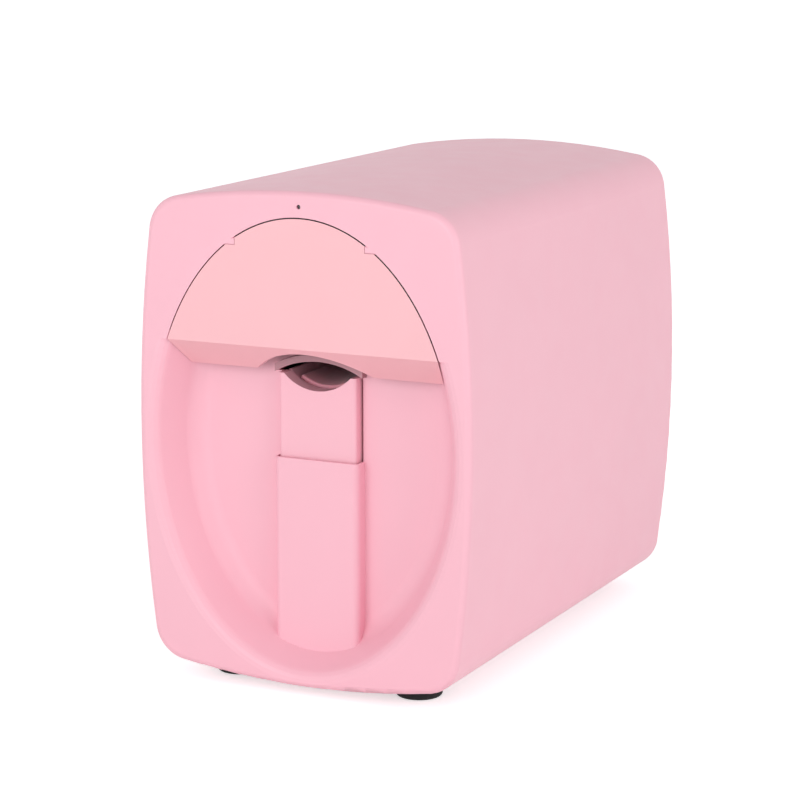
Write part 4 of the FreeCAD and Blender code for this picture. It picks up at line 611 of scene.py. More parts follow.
def joined(name, pieces):
    """Several pieces as one mesh."""
    only(*pieces)
    bpy.ops.object.join()
    piece = bpy.context.object
    piece.name = name
    return piece


def cut_out(piece, *cutters):
    """Cuts shapes out of a piece, and removes the shapes."""
    for cutter in cutters:
        modified(piece, "BOOLEAN", operation="DIFFERENCE", object=cutter, solver="EXACT")
        discard(cutter)
    return piece


def sliced(piece, place, normal, **sides):
    """Cuts a piece by a plane, and clears and closes a side if told to."""
    pick_all(piece)
    bpy.ops.mesh.bisect(plane_co=place, plane_no=normal, threshold=FINEST, **sides)
    leave()


def flatten_ends(piece, low, high):
    """Cuts a piece level at its foot and top, and closes the cuts."""
    for level, inner in ((low, True), (high, False)):
        sliced(piece, UP * level, UP, use_fill=True, clear_inner=inner, clear_outer=not inner)
    return piece


def groove(piece, level, width, depth):
    """Cuts a level groove of an even depth all round a piece."""
    for cut in (level, level + width):
        sliced(piece, UP * cut, UP)
    pick(piece, "FACE", lambda face: level < middle(face).z < level + width
         and abs(face.normal.z) < 0.5)
    bpy.ops.mesh.extrude_region_shrink_fatten(TRANSFORM_OT_shrink_fatten={"value": -depth})
    leave()


def ring(name, start, outer, inner, length, sides):
    """A tube with flat ends along the depth."""
    before = Vector(start) - Vector((0.0, MM, 0.0))
    bore = drum("bore", "Y", before, inner, length + 2.0 * MM, sides)
    return cut_out(drum(name, "Y", start, outer, length, sides), bore)


def drawn_line(name, points):
    """A line through points, drawn by extruding one corner from each to the next."""
    bpy.ops.mesh.primitive_plane_add(size=MM, location=points[0])
    piece = settle(name)
    pick_all(piece)
    bpy.ops.mesh.merge(type="CENTER")
    for before, after in zip(points, points[1:]):
        step = Vector(after) - Vector(before)
        bpy.ops.mesh.extrude_vertices_move(TRANSFORM_OT_translate={"value": step})
    leave()
    return piece


# Steps of a thread or a coil in one turn.
STEPS = 24


def wound(piece, lead, turns, **settings):
    """Turns a drawn line round the Z axis, rising by its lead with each turn."""
    return modified(piece, "SCREW", axis="Z", angle=2.0 * math.pi, screw_offset=lead,
                    iterations=turns, steps=STEPS, render_steps=STEPS, **settings)


# Rise along the pitch and height of a tooth's corners, and the leads below the bar where the first
# tooth starts. That length keeps the corners off the planes that cut the ends.
THREAD_FORM = ((0.18, 0.0), (0.5, 1.0), (0.68, 1.0), (1.0, 0.0))
THREAD_START = 1.31


def thread(name, root, crest, pitch, lead, low, high):
    """A threaded bar on the Z axis: its tooth form is turned upwards and cut square at the ends."""
    foot = low - lead * THREAD_START
    points = [(root, 0.0, foot)]
    for start in range(round(lead / pitch)):
        for rise, height in THREAD_FORM:
            points.append((root + (crest - root) * height, 0.0, foot + pitch * (start + rise)))
    turns = math.ceil((high - low) / lead + THREAD_START) + 1
    piece = wound(drawn_line(name, points), lead, turns, use_merge_vertices=True,
                  merge_threshold=0.01 * MM)
    return flatten_ends(piece, low, high)


def finished(piece, body, slot, look, *nodes, angle=40.0):
    """Gives a piece its faces' direction, shading, finish and body, and hides the nodes that it
    stands for.
    """
    pick_all(piece)
    bpy.ops.mesh.remove_doubles(threshold=FINEST)
    bpy.ops.mesh.normals_make_consistent(inside=False)
    leave()
    bpy.ops.object.shade_smooth_by_angle(angle=math.radians(angle))
    piece.data.materials.clear()
    piece.data.materials.append(bpy.data.materials[look])
    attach(piece, body)
    if nodes:
        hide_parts(*nodes)


# ---------------------------------------------------------------- operators

class NAIL_PRINTER_OT_case_finish(bpy.types.Operator):
    """Gives the case, the door, the finger rest and the feet their moulded finishes"""
    bl_idname = "nail_printer.case_finish"
    bl_label = "Case finish"

    def execute(self, context):
        look = context.scene.printer_case
        dress(moulded_plastic("shell_plastic_look", look.shell, look), "main_housing", "rear_panel")
        dress(moulded_plastic("door_plastic_look", look.door, look), "front_door")
        dress(moulded_plastic("rest_plastic_look", look.rest, look), "finger_rest")
        dress(moulded_plastic("hood_plastic_look", look.hood, look, roughness=0.5), "finger_hood")
        dress(glossy_plastic("button_plastic_look", look.button, wear_and_highlight=0.1), "power_button")
        dress(rubber("foot_rubber_look", look.feet), *FEET)
        return {"FINISHED"}


class NAIL_PRINTER_OT_mechanism_finish(bpy.types.Operator):
    """Gives the frames, drives, carriage and electronics their metal and plastic finishes"""
    bl_idname = "nail_printer.mechanism_finish"
    bl_label = "Mechanism finish"

    def execute(self, context):
        case = context.scene.printer_case
        look = context.scene.printer_mechanism
        self.metals(look)
        dress(painted_can("motor_black_look", look.motor), "beam_motor", "carriage_motor")
        dress(rubber("belt_rubber_look", look.belt, roughness=0.6), "carriage_belt")
        dress(moulded_plastic("carriage_plastic_look", look.carriage, case, wear_and_highlight=0.5),
              "print_carriage", "cartridge_latch", "guide_bracket", "cap_post",
              "board_standoffs")
        dress(glossy_plastic("cartridge_plastic_look", look.cartridge), "ink_cartridge")
        dress(circuit_board("board_green_look", look.board), "main_board", "camera_board",
              "status_light_board")
        dress(moulded_plastic("chip_black_look", look.chip, case, roughness=0.5, wear_and_highlight=0.4),
              "board_chips", "power_switch", "power_jack")
        dress(glossy_plastic("light_white_look", look.light, wear_and_highlight=0.05), "light_strips")
        dress(glossy_plastic("light_smoked_look", look.smoked, wear_and_highlight=0.05), "status_light_pipe")
        dress(coated_glass("lens_glass_look", look.glass), "camera_lens")
        dress(marked_film("encoder_film_look", look.film), "encoder_strip")
        dress(silicone("pad_silicone_look", look.silicone), "finger_pad", "capping_pad")
        glossy_plastic("light_yellow_look", look.yellow, wear_and_highlight=0.05)
        return {"FINISHED"}

    def metals(self, look):
        """Metal finishes, each with its roughness and the size of its marks along each axis."""
        fine = 0.3 * MM
        dress(plated_sheet("sheet_steel_look", look.sheet), "chassis_tray", "side_frame_left",
              "side_frame_right", "rear_bridge", "camera_bracket", "catch_plates")
        dress(bright_metal("rod_steel_look", look.rod, 0.14, 2.0 * MM, 2.0 * MM, fine),
              "guide_rods", "hinge_pins", "latch_pin", "cross_rods")
        dress(bright_metal("shaft_steel_look", look.rod, 0.14, 2.0 * MM, fine, 2.0 * MM),
              "beam_rail_left", "beam_rail_right", "motor_shaft", "idler_pin")
        dress(bright_metal("screw_steel_look", look.screw, 0.30, 1.0 * MM),
              "foot_screws", "rear_panel_screws", "frame_screws", "rest_spring_left",
              "rest_spring_right")
        dress(bright_metal("beam_aluminium_look", look.beam, 0.34, 20.0 * MM, fine, fine),
              "cross_beam")
        dress(bright_metal("pulley_aluminium_look", look.beam, 0.26, 4.0 * MM, 0.2 * MM, 4.0 * MM),
              "drive_pulley", "idler_pulley")
        dress(bright_metal("brass_look", look.brass, 0.24, 3.0 * MM, fine, 3.0 * MM),
              "beam_nut", "rail_bushes", "carriage_bushes", "screw_bearing")
        dress(bright_metal("lead_screw_look", look.rod, 0.20, 2.0 * MM, 0.4 * MM, 2.0 * MM),
              "lead_screw")
        dress(bright_metal("nickel_look", look.nickel, 0.18, 2.0 * MM), "door_magnets", "usb_port")
        bright_metal("gold_look", look.gold, 0.22, 1.0 * MM)


class NAIL_PRINTER_OT_finger_pad(bpy.types.Operator):
    """Models the soft pad that the finger lies on: a curved sheet, thickened and crowned"""
    bl_idname = "nail_printer.finger_pad"
    bl_label = "Finger pad"

    def execute(self, context):
        sizes = context.scene.printer_pieces
        seat_gap, side_gap = 0.03 * MM, 0.3 * MM
        rows = 14
        low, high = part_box("finger_pad")
        radius = sizes.trough_radius - seat_gap
        axis = Vector((0.0, low.y, low.z + sizes.trough_radius))
        half_turn = math.asin((high.x - side_gap) / radius)
        corner = Vector((-radius * math.sin(half_turn), 0.0,
                         axis.z - radius * math.cos(half_turn)))
        step = (high.y - low.y) / rows
        pad = drawn_line("finger_pad_soft",
                         [corner + Vector((0.0, low.y + step * row, 0.0)) for row in range(rows + 1)])
        pick_all(pad)
        bpy.ops.mesh.spin(steps=rows, angle=2.0 * half_turn, center=axis, axis=(0.0, 1.0, 0.0))
        leave()
        if max(vertex.co.x for vertex in pad.data.vertices) < 0.0:
            raise RuntimeError("the finger pad was turned the wrong way")
        upwards = pad.data.polygons[0].normal.z > 0.0
        modified(pad, "SOLIDIFY", thickness=sizes.pad_thickness, offset=1.0 if upwards else -1.0)
        inner = radius - sizes.pad_thickness / 2
        self.crown(pad, sizes.pad_crown, axis.z, (low.y + high.y) / 2, inner)
        rounded(pad, 0.7 * MM)
        modified(pad, "SUBSURF", levels=2, render_levels=2)
        finished(pad, "rest", "pad_silicone", "pad_silicone_look", "finger_pad", angle=60.0)
        return {"FINISHED"}

    def crown(self, pad, rise, level, middle_y, inner):
        """Raises the pad's upper side in equal steps, each further in and longer than wide."""
        longer = 1.8
        reaches = (10.0 * MM, 7.0 * MM, 4.0 * MM)
        for reach in reaches:
            pick(pad, "VERT", lambda vertex: abs(vertex.co.x) < reach
                 and abs(vertex.co.y - middle_y) < reach * longer
                 and math.hypot(vertex.co.x, vertex.co.z - level) < inner)
            bpy.ops.transform.translate(value=UP * (rise / len(reaches)))
            leave()


class NAIL_PRINTER_OT_capping_pad(bpy.types.Operator):
    """Models the pad that seals the parked nozzle: a rounded cup with a soft cushion in it"""
    bl_idname = "nail_printer.capping_pad"
    bl_label = "Capping pad"

    def execute(self, context):
        wall, depth, moat = 1.2 * MM, 2.0 * MM, 0.9 * MM
        cushion, step = 1.1 * MM, 0.45 * MM
        low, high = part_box("capping_pad")
        floor = high.z - depth
        pad = block("capping_pad_soft", low, high)
        pick(pad, "EDGE", edges_along("Z"))
        bevel_picked(3.5 * MM, segments=6)
        pick(pad, "FACE", faces_towards(0, 0, 1))
        sink_picked(border=wall, push=-depth)
        pick(pad, "FACE", faces_up_between(floor - 0.1 * MM, floor + 0.1 * MM))
        sink_picked(border=moat, push=cushion)
        pick(pad, "FACE", faces_up_between(floor + 0.5 * MM, high.z - 0.5 * MM))
        for rise in (0.35 * MM, 0.15 * MM, 0.05 * MM):
            bpy.ops.mesh.inset(thickness=step, depth=rise)
        leave()
        rounded(pad, 0.3 * MM, segments=4)
        finished(pad, "housing", "pad_silicone", "pad_silicone_look", "capping_pad", angle=50.0)
        return {"FINISHED"}


class NAIL_PRINTER_OT_screws(bpy.types.Operator):
    """Models pan-head screws with cross recesses and cut threads, in their three lengths"""
    bl_idname = "nail_printer.screws"
    bl_label = "Screws"

    def execute(self, context):
        sizes = context.scene.printer_pieces
        head = sizes.screw_head_radius
        low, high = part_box("foot_screws")
        seat = low.z + sizes.screw_head_height
        feet = [(foot_low + foot_high) / 2 for foot_low, foot_high in map(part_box, FEET)]
        self.set_of(sizes, "foot_screws", high.z - seat, (math.pi, 0.0, 0.0),
                    [(foot.x, foot.y, seat) for foot in feet])
        low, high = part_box("rear_panel_screws")
        seat = high.y - sizes.screw_head_height
        self.set_of(sizes, "rear_panel_screws", seat - low.y, (-math.pi / 2, 0.0, 0.0),
                    [(x, seat, z) for x in (low.x + head, high.x - head)
                     for z in (low.z + head, high.z - head)])
        low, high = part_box("frame_screws")
        seat = high.z - sizes.screw_head_height
        self.set_of(sizes, "frame_screws", seat - low.z, (0.0, 0.0, 0.0),
                    [(x, y, seat) for x in (low.x + head, high.x - head)
                     for y in (low.y + head, high.y - head)])
        return {"FINISHED"}

    def set_of(self, sizes, node, length, turn, places):
        """One screw, copied to each place and joined into one piece."""
        pattern = self.screw(sizes, length)
        copies = [copied(pattern, place, turn) for place in places]
        discard(pattern)
        finished(joined(node + "_cut", copies), "housing", "screw_steel", "screw_steel_look", node)

    def screw(self, sizes, length):
        """One screw, head up, with the underside of its head at the origin."""
        radius, height = sizes.screw_head_radius, sizes.screw_head_height
        head = drum("screw_head", "Z", (0, 0, 0), radius, height)
        pick(head, "EDGE", edges_above(height - 0.01 * MM))
        bevel_picked(height * 0.5, segments=4)
        reach, half_slot = radius * 0.62, radius * 0.13
        slot_floor, slot_top = height * 0.3, height * 1.5
        slots = []
        for across, along in ((reach, half_slot), (half_slot, reach)):
            slot = block("slot", (-across, -along, slot_floor), (across, along, slot_top))
            pick(slot, "FACE", faces_towards(0, 0, -1))
            narrow_picked(0.6)
            slots.append(slot)
        cut_out(head, *slots)
        crest = sizes.screw_radius
        root, pitch = crest * 0.8, crest / 3
        into_head = height * 0.2
        shank = thread("screw_shank", root, crest, pitch, pitch, -length, into_head)
        return joined("screw", [head, shank])


class NAIL_PRINTER_OT_rest_springs(bpy.types.Operator):
    """Models the finger rest's two coil springs, with close turns and ground faces at their ends"""
    bl_idname = "nail_printer.rest_springs"
    bl_label = "Rest springs"

    def execute(self, context):
        sizes = context.scene.printer_pieces
        low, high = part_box("rest_spring_left")
        height = high.z - low.z
        coil = self.coil(sizes.spring_wire, (high.x - low.x) / 2, height)
        for node in ("rest_spring_left", "rest_spring_right"):
            low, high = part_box(node)
            seat = Vector(((low.x + high.x) / 2, (low.y + high.y) / 2, low.z))
            piece = copied(coil, seat)
            piece.name = node + "_coil"
            finished(piece, "housing", "screw_steel", "screw_steel_look", node)
            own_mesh(piece)
        discard(coil)
        return {"FINISHED"}

    def coil(self, wire, outer, height):
        """One spring on the Z axis, wound stretch by stretch and ground flat at both ends."""
        level = -GROUND_OFF * wire
        left_over = height - 2.0 * level
        share = 0.0
        for turns, opened in SPRING_STRETCHES:
            left_over -= turns * CLOSE_PITCH * wire
            share += turns * opened
        windings = []
        for turns, opened in SPRING_STRETCHES:
            pitch = CLOSE_PITCH * wire + opened * left_over / share
            bpy.ops.mesh.primitive_circle_add(vertices=12, radius=wire,
                                              location=(outer - wire, 0.0, level),
                                              rotation=(math.pi / 2, 0.0, 0.0))
            windings.append(wound(settle("winding"), pitch, turns))
            level += turns * pitch
        piece = joined("coil", windings)
        pick_all(piece)
        bpy.ops.mesh.remove_doubles(threshold=FINEST)
        leave()
        return flatten_ends(piece, 0.0, height)


class NAIL_PRINTER_OT_lead_screw(bpy.types.Operator):
    """Models the beam's lead screw with its four-start thread and plain ends"""
    bl_idname = "nail_printer.lead_screw"
    bl_label = "Lead screw"

    def execute(self, context):
        sizes = context.scene.printer_pieces
        starts = 4
        front_end, back_end = 4.0 * MM, 12.0 * MM
        low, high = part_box("lead_screw")
        crest = (high.x - low.x) / 2
        root = crest - sizes.thread_depth
        upright = thread("upright_thread", root, crest, sizes.thread_lead / starts,
                         sizes.thread_lead, 0.0, high.y - low.y - front_end - back_end)
        centre = Vector(((low.x + high.x) / 2, low.y, (low.z + high.z) / 2))
        turned = copied(upright, centre + Vector((0.0, front_end, 0.0)), TURNS["Y"])
        discard(upright)
        ends = []
        for start, length in ((low.y, front_end), (high.y - back_end, back_end)):
            end = drum("plain_end", "Y", (centre.x, start, centre.z), root, length)
            ends.append(rounded(end, 0.3 * MM))
        finished(joined("lead_screw_cut", [turned, *ends]), "screw", "rod_steel",
                 "lead_screw_look", "lead_screw")
        return {"FINISHED"}


class NAIL_PRINTER_OT_belt_drive(bpy.types.Operator):
    """Models the toothed belt and its two toothed pulleys"""
    bl_idname = "nail_printer.belt_drive"
    bl_label = "Belt drive"

    def execute(self, context):
        sizes = context.scene.printer_pieces
        self.belt(sizes)
        self.pulley(sizes, "drive_pulley", "drive", sizes.shaft_radius)
        self.pulley(sizes, "idler_pulley", "idler", sizes.idler_bore_radius)
        return {"FINISHED"}

    def belt(self, sizes):
        """A closed band pulled out between the pulleys, with teeth all round its inside."""
        low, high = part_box("carriage_belt")
        outer = (high.z - low.z) / 2
        level = (high.z + low.z) / 2
        spread = high.x - outer
        inwards = outer - sizes.belt_back
        band = drum("belt_band", "Y", (0.0, low.y, level), outer, high.y - low.y,
                    sides=66, ends="NOTHING")
        for side in (-1.0, 1.0):
            pick(band, "VERT", lambda vertex: vertex.co.x * side > 0.0)
            bpy.ops.transform.translate(value=(side * spread, 0.0, 0.0))
            leave()
        modified(band, "SOLIDIFY", thickness=sizes.belt_back, offset=-1.0)
        half_tooth, sunk = 0.55 * MM, 0.02 * MM
        tooth = block("belt_tooth", (-half_tooth, low.y, -inwards - sunk),
                      (half_tooth, high.y, -inwards + sizes.tooth_height))
        across, crest = edges_along("Y"), edges_above(-inwards + 0.1 * MM)
        pick(tooth, "EDGE", lambda edge: across(edge) and crest(edge))
        bevel_picked(0.3 * MM, segments=2)
        teeth = []
        length = 4.0 * spread + 2.0 * math.pi * inwards
        count = round(length / sizes.tooth_pitch)
        for index in range(count):
            x, angle = self.place_on_belt(length * index / count, spread, inwards)
            teeth.append(copied(tooth, (x, 0.0, level), (0.0, angle, 0.0)))
        discard(tooth)
        finished(joined("toothed_belt", [band, *teeth]), "gantry", "belt_rubber",
                 "belt_rubber_look", "carriage_belt")

    def place_on_belt(self, travel, spread, radius):
        """Where a point lies after a length of the belt: its arc's centre, and its turn there."""
        straight, bend = 2.0 * spread, math.pi * radius
        if travel < straight:
            return travel - spread, 0.0
        if travel < straight + bend:
            return spread, -(travel - straight) / radius
        if travel < 2.0 * straight + bend:
            return spread - (travel - straight - bend), math.pi
        return -spread, math.pi - (travel - 2.0 * straight - bend) / radius

    def pulley(self, sizes, node, body, bore):
        """A pulley with cut teeth between two rounded flanges."""
        sides, rim_sides = 84, 48
        edge_width = sizes.flange_thickness
        low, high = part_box(node)
        centre = Vector(((low.x + high.x) / 2, low.y, (low.z + high.z) / 2))
        wheel = ring("wheel", centre + Vector((0.0, edge_width / 2, 0.0)), sizes.pulley_radius,
                     bore, high.y - low.y - edge_width, sides)

        def in_gullet(vertex):
            """Two of every four corners round the wheel's outside."""
            across = Vector((vertex.co.x - centre.x, vertex.co.z - centre.z))
            turn = round(math.atan2(across.y, across.x) * sides / (2.0 * math.pi))
            return across.length > sizes.pulley_radius - 0.1 * MM and turn % 4 in (0, 1)

        pick(wheel, "VERT", in_gullet)
        shrink = 1.0 - sizes.tooth_height / sizes.pulley_radius
        bpy.ops.transform.resize(value=(shrink, 1.0, shrink),
                                 center_override=(centre.x, 0.0, centre.z))
        leave()
        flanges = []
        for start in (low.y, high.y - edge_width):
            rim = ring("flange", (centre.x, start, centre.z), (high.x - low.x) / 2, bore,
                       edge_width, rim_sides)
            flanges.append(rounded(rim, 0.25 * MM))
        finished(joined(node + "_cut", [wheel, *flanges]), body, "beam_aluminium",
                 "pulley_aluminium_look", node)


class NAIL_PRINTER_OT_board_parts(bpy.types.Operator):
    """Models the main board's chips with their legs, and the capacitor"""
    bl_idname = "nail_printer.board_parts"
    bl_label = "Board parts"

    def execute(self, context):
        sizes = context.scene.printer_pieces
        board_low, board_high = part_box("main_board")
        parts_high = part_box("board_chips")[1]
        front, top = board_low.y, board_high.z
        chips = []
        legs = []
        for left, right, start, end, height, count in CHIPS:
            low = Vector((left * MM, front + start * MM, top + 0.1 * MM))
            high = Vector((right * MM, front + end * MM, top + height * MM))
            chips.append(self.chip(low, high))
            legs.extend(self.legs(low, high, count))
        finished(joined("chip_bodies", chips), "housing", "chip_black", "chip_black_look",
                 "board_chips")
        finished(joined("chip_legs", legs), "housing", "magnet_nickel", "nickel_look")
        radius = sizes.capacitor_radius
        centre = Vector((parts_high.x - radius, front + sizes.capacitor_from_edge, top))
        finished(self.capacitor(centre, radius, parts_high.z - top), "housing", "chip_black",
                 "cartridge_plastic_look")
        return {"FINISHED"}

    def chip(self, low, high):
        """A moulded chip with sloping sides and a dimple that marks its first leg."""
        from_corner, depth, radius = 1.6 * MM, 0.15 * MM, 0.5 * MM
        chip = block("chip", low, high)
        pick(chip, "FACE", lambda face: abs(face.normal.z) > FACING)
        narrow_picked(0.94)
        rounded(chip, 0.12 * MM)
        dimple = drum("dimple", "Z", (low.x + from_corner, low.y + from_corner, high.z - depth),
                      radius, MM, sides=20)
        return cut_out(chip, dimple)

    def legs(self, low, high, count):
        """Bent legs along the two long sides of a chip."""
        width, sheet = 0.4 * MM, 0.15 * MM
        level = low.z + 0.45 * (high.z - low.z)
        leg = drawn_line("leg", [(0.0, 0.0, level), (0.6 * MM, 0.0, level),
                                 (0.9 * MM, 0.0, low.z), (1.5 * MM, 0.0, low.z)])
        pick(leg, "EDGE", lambda edge: True)
        bpy.ops.mesh.extrude_region_move(TRANSFORM_OT_translate={"value": (0.0, width, 0.0)})
        leave()
        modified(leg, "SOLIDIFY", thickness=sheet, offset=0.0)
        legs = []
        pitch = (high.y - low.y) / (count + 1)
        for index in range(count):
            y = low.y + pitch * (index + 1)
            legs.append(copied(leg, (high.x, y - width / 2, 0.0)))
            legs.append(copied(leg, (low.x, y + width / 2, 0.0), (0.0, 0.0, math.pi)))
        discard(leg)
        return legs

    def capacitor(self, centre, radius, height):
        """A can with a rolled groove above its foot and a rounded top with pressed lines."""
        can = drum("capacitor_can", "Z", centre, radius, height, sides=48)
        groove(can, centre.z + height * 0.14, width=height * 0.06, depth=radius * 0.07)
        top = centre.z + height
        pick(can, "FACE", faces_up_between(top - height * 0.1, top + MM))
        sink_picked(border=0.8 * MM, push=-0.3 * MM)
        rounded(can, 0.3 * MM)
        long, half_line = radius * 0.6, 0.12 * MM
        lines = [block("line", (centre.x - across, centre.y - along, top - 0.5 * MM),
                       (centre.x + across, centre.y + along, top + MM))
                 for across, along in ((long, half_line), (half_line, long))]
        return cut_out(can, *lines)


class NAIL_PRINTER_OT_sockets(bpy.types.Operator):
    """Models the tongue and contacts of the USB socket, and the switch behind the button"""
    bl_idname = "nail_printer.sockets"
    bl_label = "Sockets and switch"

    def execute(self, context):
        low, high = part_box("usb_port")
        panel_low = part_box("rear_panel")[0]
        # The tongue's middle line, and where its contacts start inside the socket.
        start = Vector(((low.x + high.x) / 2, panel_low.y - 10.0 * MM, high.z - 3.3 * MM))
        root = Vector((4.0, 0.5, 0.35)) * MM
        tip = Vector((4.0, 7.5, 0.35)) * MM
        tongue = rounded(block("usb_tongue", start - root, start + tip), 0.15 * MM)
        finished(tongue, "housing", "chip_black", "chip_black_look")
        root = Vector((0.15, 0.0, 0.42)) * MM
        tip = Vector((0.15, 6.8, 0.42)) * MM
        contact = rounded(block("contact", start - root, start + tip), 0.05 * MM)
        pitch = 0.8 * MM
        contacts = [copied(contact, (index * pitch, 0.0, 0.0)) for index in range(-4, 5)]
        discard(contact)
        finished(joined("usb_contacts", contacts), "housing", "magnet_nickel", "gold_look")
        self.switch()
        return {"FINISHED"}

    def switch(self):
        """A push switch: body, pressed cover and a round plunger that faces the button."""
        radius, length, sunk = 2.2 * MM, 2.5 * MM, MM
        low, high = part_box("power_switch")
        front = high.y - length + sunk
        body = block("switch_body", low, (high.x, front, high.z))
        pick(body, "FACE", faces_towards(0, 1, 0))
        sink_picked(border=0.8 * MM, push=-0.3 * MM)
        rounded(body, 0.3 * MM)
        centre = ((low.x + high.x) / 2, front - sunk, high.z - 6.0 * MM)
        plunger = rounded(drum("plunger", "Y", centre, radius, length), 0.4 * MM)
        finished(joined("power_switch_body", [body, plunger]), "housing", "chip_black",
                 "chip_black_look", "power_switch")


class NAIL_PRINTER_OT_camera_parts(bpy.types.Operator):
    """Models the camera's barrel and glass, and the small lights on the two strips"""
    bl_idname = "nail_printer.camera_parts"
    bl_label = "Camera and lights"

    def execute(self, context):
        low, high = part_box("camera_lens")
        radius = (high.x - low.x) / 2
        centre = Vector(((low.x + high.x) / 2, (low.y + high.y) / 2, low.z))
        barrel = drum("lens_barrel", "Z", centre, radius, high.z - low.z, sides=48)
        downwards = faces_towards(0, 0, -1)
        pick(barrel, "FACE", downwards)
        sink_picked(border=0.8 * MM, push=-0.5 * MM)
        pick(barrel, "FACE", lambda face: downwards(face) and len(face.verts) > 4)
        sink_picked(border=0.9 * MM, push=-0.9 * MM)
        rounded(barrel, 0.15 * MM)
        finished(barrel, "housing", "lens_glass", "carriage_plastic_look", "camera_lens")
        ball, glass_top = radius * 0.9, centre.z + 1.3 * MM
        bpy.ops.mesh.primitive_uv_sphere_add(segments=40, ring_count=20, radius=ball,
                                             location=centre + UP * radius)
        glass = flatten_ends(settle("lens_glass"), centre.z - radius, glass_top)
        finished(glass, "housing", "lens_glass", "lens_glass_look")
        self.small_lights()
        return {"FINISHED"}

    def small_lights(self):
        """Square lights with a soft yellow face, evenly spaced below each strip."""
        count = 6
        half_width, half_depth, from_edge = 1.2 * MM, 1.0 * MM, 1.5 * MM
        low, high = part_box("light_strips")
        light = block("light", (-half_width, -half_depth, low.z - 0.6 * MM),
                      (half_width, half_depth, low.z + 0.05 * MM))
        pick(light, "FACE", faces_towards(0, 0, -1))
        sink_picked(border=0.3 * MM, push=-0.15 * MM)
        rounded(light, 0.1 * MM)
        pitch = (high.x - low.x) / count
        lights = [copied(light, (low.x + pitch * (index + 0.5), y, 0.0))
                  for y in (low.y + from_edge, high.y - from_edge) for index in range(count)]
        discard(light)
        finished(joined("strip_lights", lights), "housing", "light_white", "light_yellow_look")


class NAIL_PRINTER_OT_cartridge(bpy.types.Operator):
    """Models the cartridge: case, lid seam, blank label fields, grip ribs, nose and nozzle plate"""
    bl_idname = "nail_printer.cartridge"
    bl_label = "Ink cartridge"

    def execute(self, context):
        low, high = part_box("ink_cartridge")
        floor = low.z + 5.0 * MM
        case = self.case(low, high, floor)
        ribs = self.ribs(low, high)
        middle_x = (low.x + high.x) / 2
        half_width, start, end, into_case = 6.0 * MM, 12.0 * MM, 28.0 * MM, 0.2 * MM
        nose_low = Vector((middle_x - half_width, low.y + start, low.z))
        nose_high = Vector((middle_x + half_width, low.y + end, floor + into_case))
        nose = block("nose", nose_low, nose_high)
        pick(nose, "EDGE", edges_along("Z"))
        bevel_picked(1.2 * MM, segments=4)
        rounded(nose, 0.3 * MM)
        finished(joined("cartridge_case", [case, *ribs, nose]), "carriage", "cartridge_plastic",
                 "cartridge_plastic_look", "ink_cartridge")
        inset, proud, sunk = Vector((1.5, 1.5, 0.0)) * MM, 0.15 * MM, 0.1 * MM
        plate = block("nozzle_plate", nose_low + inset - UP * proud,
                      Vector((nose_high.x, nose_high.y, low.z + sunk)) - inset)
        pick(plate, "FACE", faces_towards(0, 0, -1))
        sink_picked(border=1.2 * MM, push=-0.05 * MM)
        rounded(plate, 0.05 * MM)
        finished(plate, "carriage", "magnet_nickel", "gold_look")
        return {"FINISHED"}

    def case(self, low, high, floor):
        """The case, with a cut toe and brow, a seam below its lid and two sunk label fields."""
        toe, smallest_side = 4.0 * MM, 500.0 * MM * MM
        case = block("case", (low.x, low.y, floor), high)
        across = edges_along("X")
        pick(case, "EDGE", lambda edge: across(edge) and middle(edge).y < low.y + MM
             and middle(edge).z < floor + MM)
        bevel_picked(toe, segments=1)
        sliced(case, (0.0, low.y, high.z - BROW_DROP), (0.0, -BROW_DROP, BROW_DEPTH),
               use_fill=True, clear_outer=True)
        seam = high.z - BROW_DROP + 2.0 * MM
        groove(case, seam, width=0.5 * MM, depth=0.3 * MM)
        pick(case, "FACE", lambda face: abs(face.normal.x) > FACING and middle(face).z < seam
             and face.calc_area() > smallest_side)
        sink_picked(border=3.0 * MM, push=-0.35 * MM)
        return rounded(case, 0.5 * MM)

    def ribs(self, low, high):
        """Grip ribs across the sloping brow."""
        lean = math.atan2(BROW_DROP, BROW_DEPTH)
        rib = block("rib", (-8.0 * MM, -0.4 * MM, -0.6 * MM), (8.0 * MM, 0.4 * MM, 0.4 * MM))
        rounded(rib, 0.25 * MM)
        ribs = []
        for share in (0.3, 0.4, 0.5, 0.6, 0.7):
            place = ((low.x + high.x) / 2, low.y + BROW_DEPTH * share,
                     high.z - BROW_DROP * (1.0 - share))
            ribs.append(copied(rib, place, (lean, 0.0, 0.0)))
        discard(rib)
        return ribs


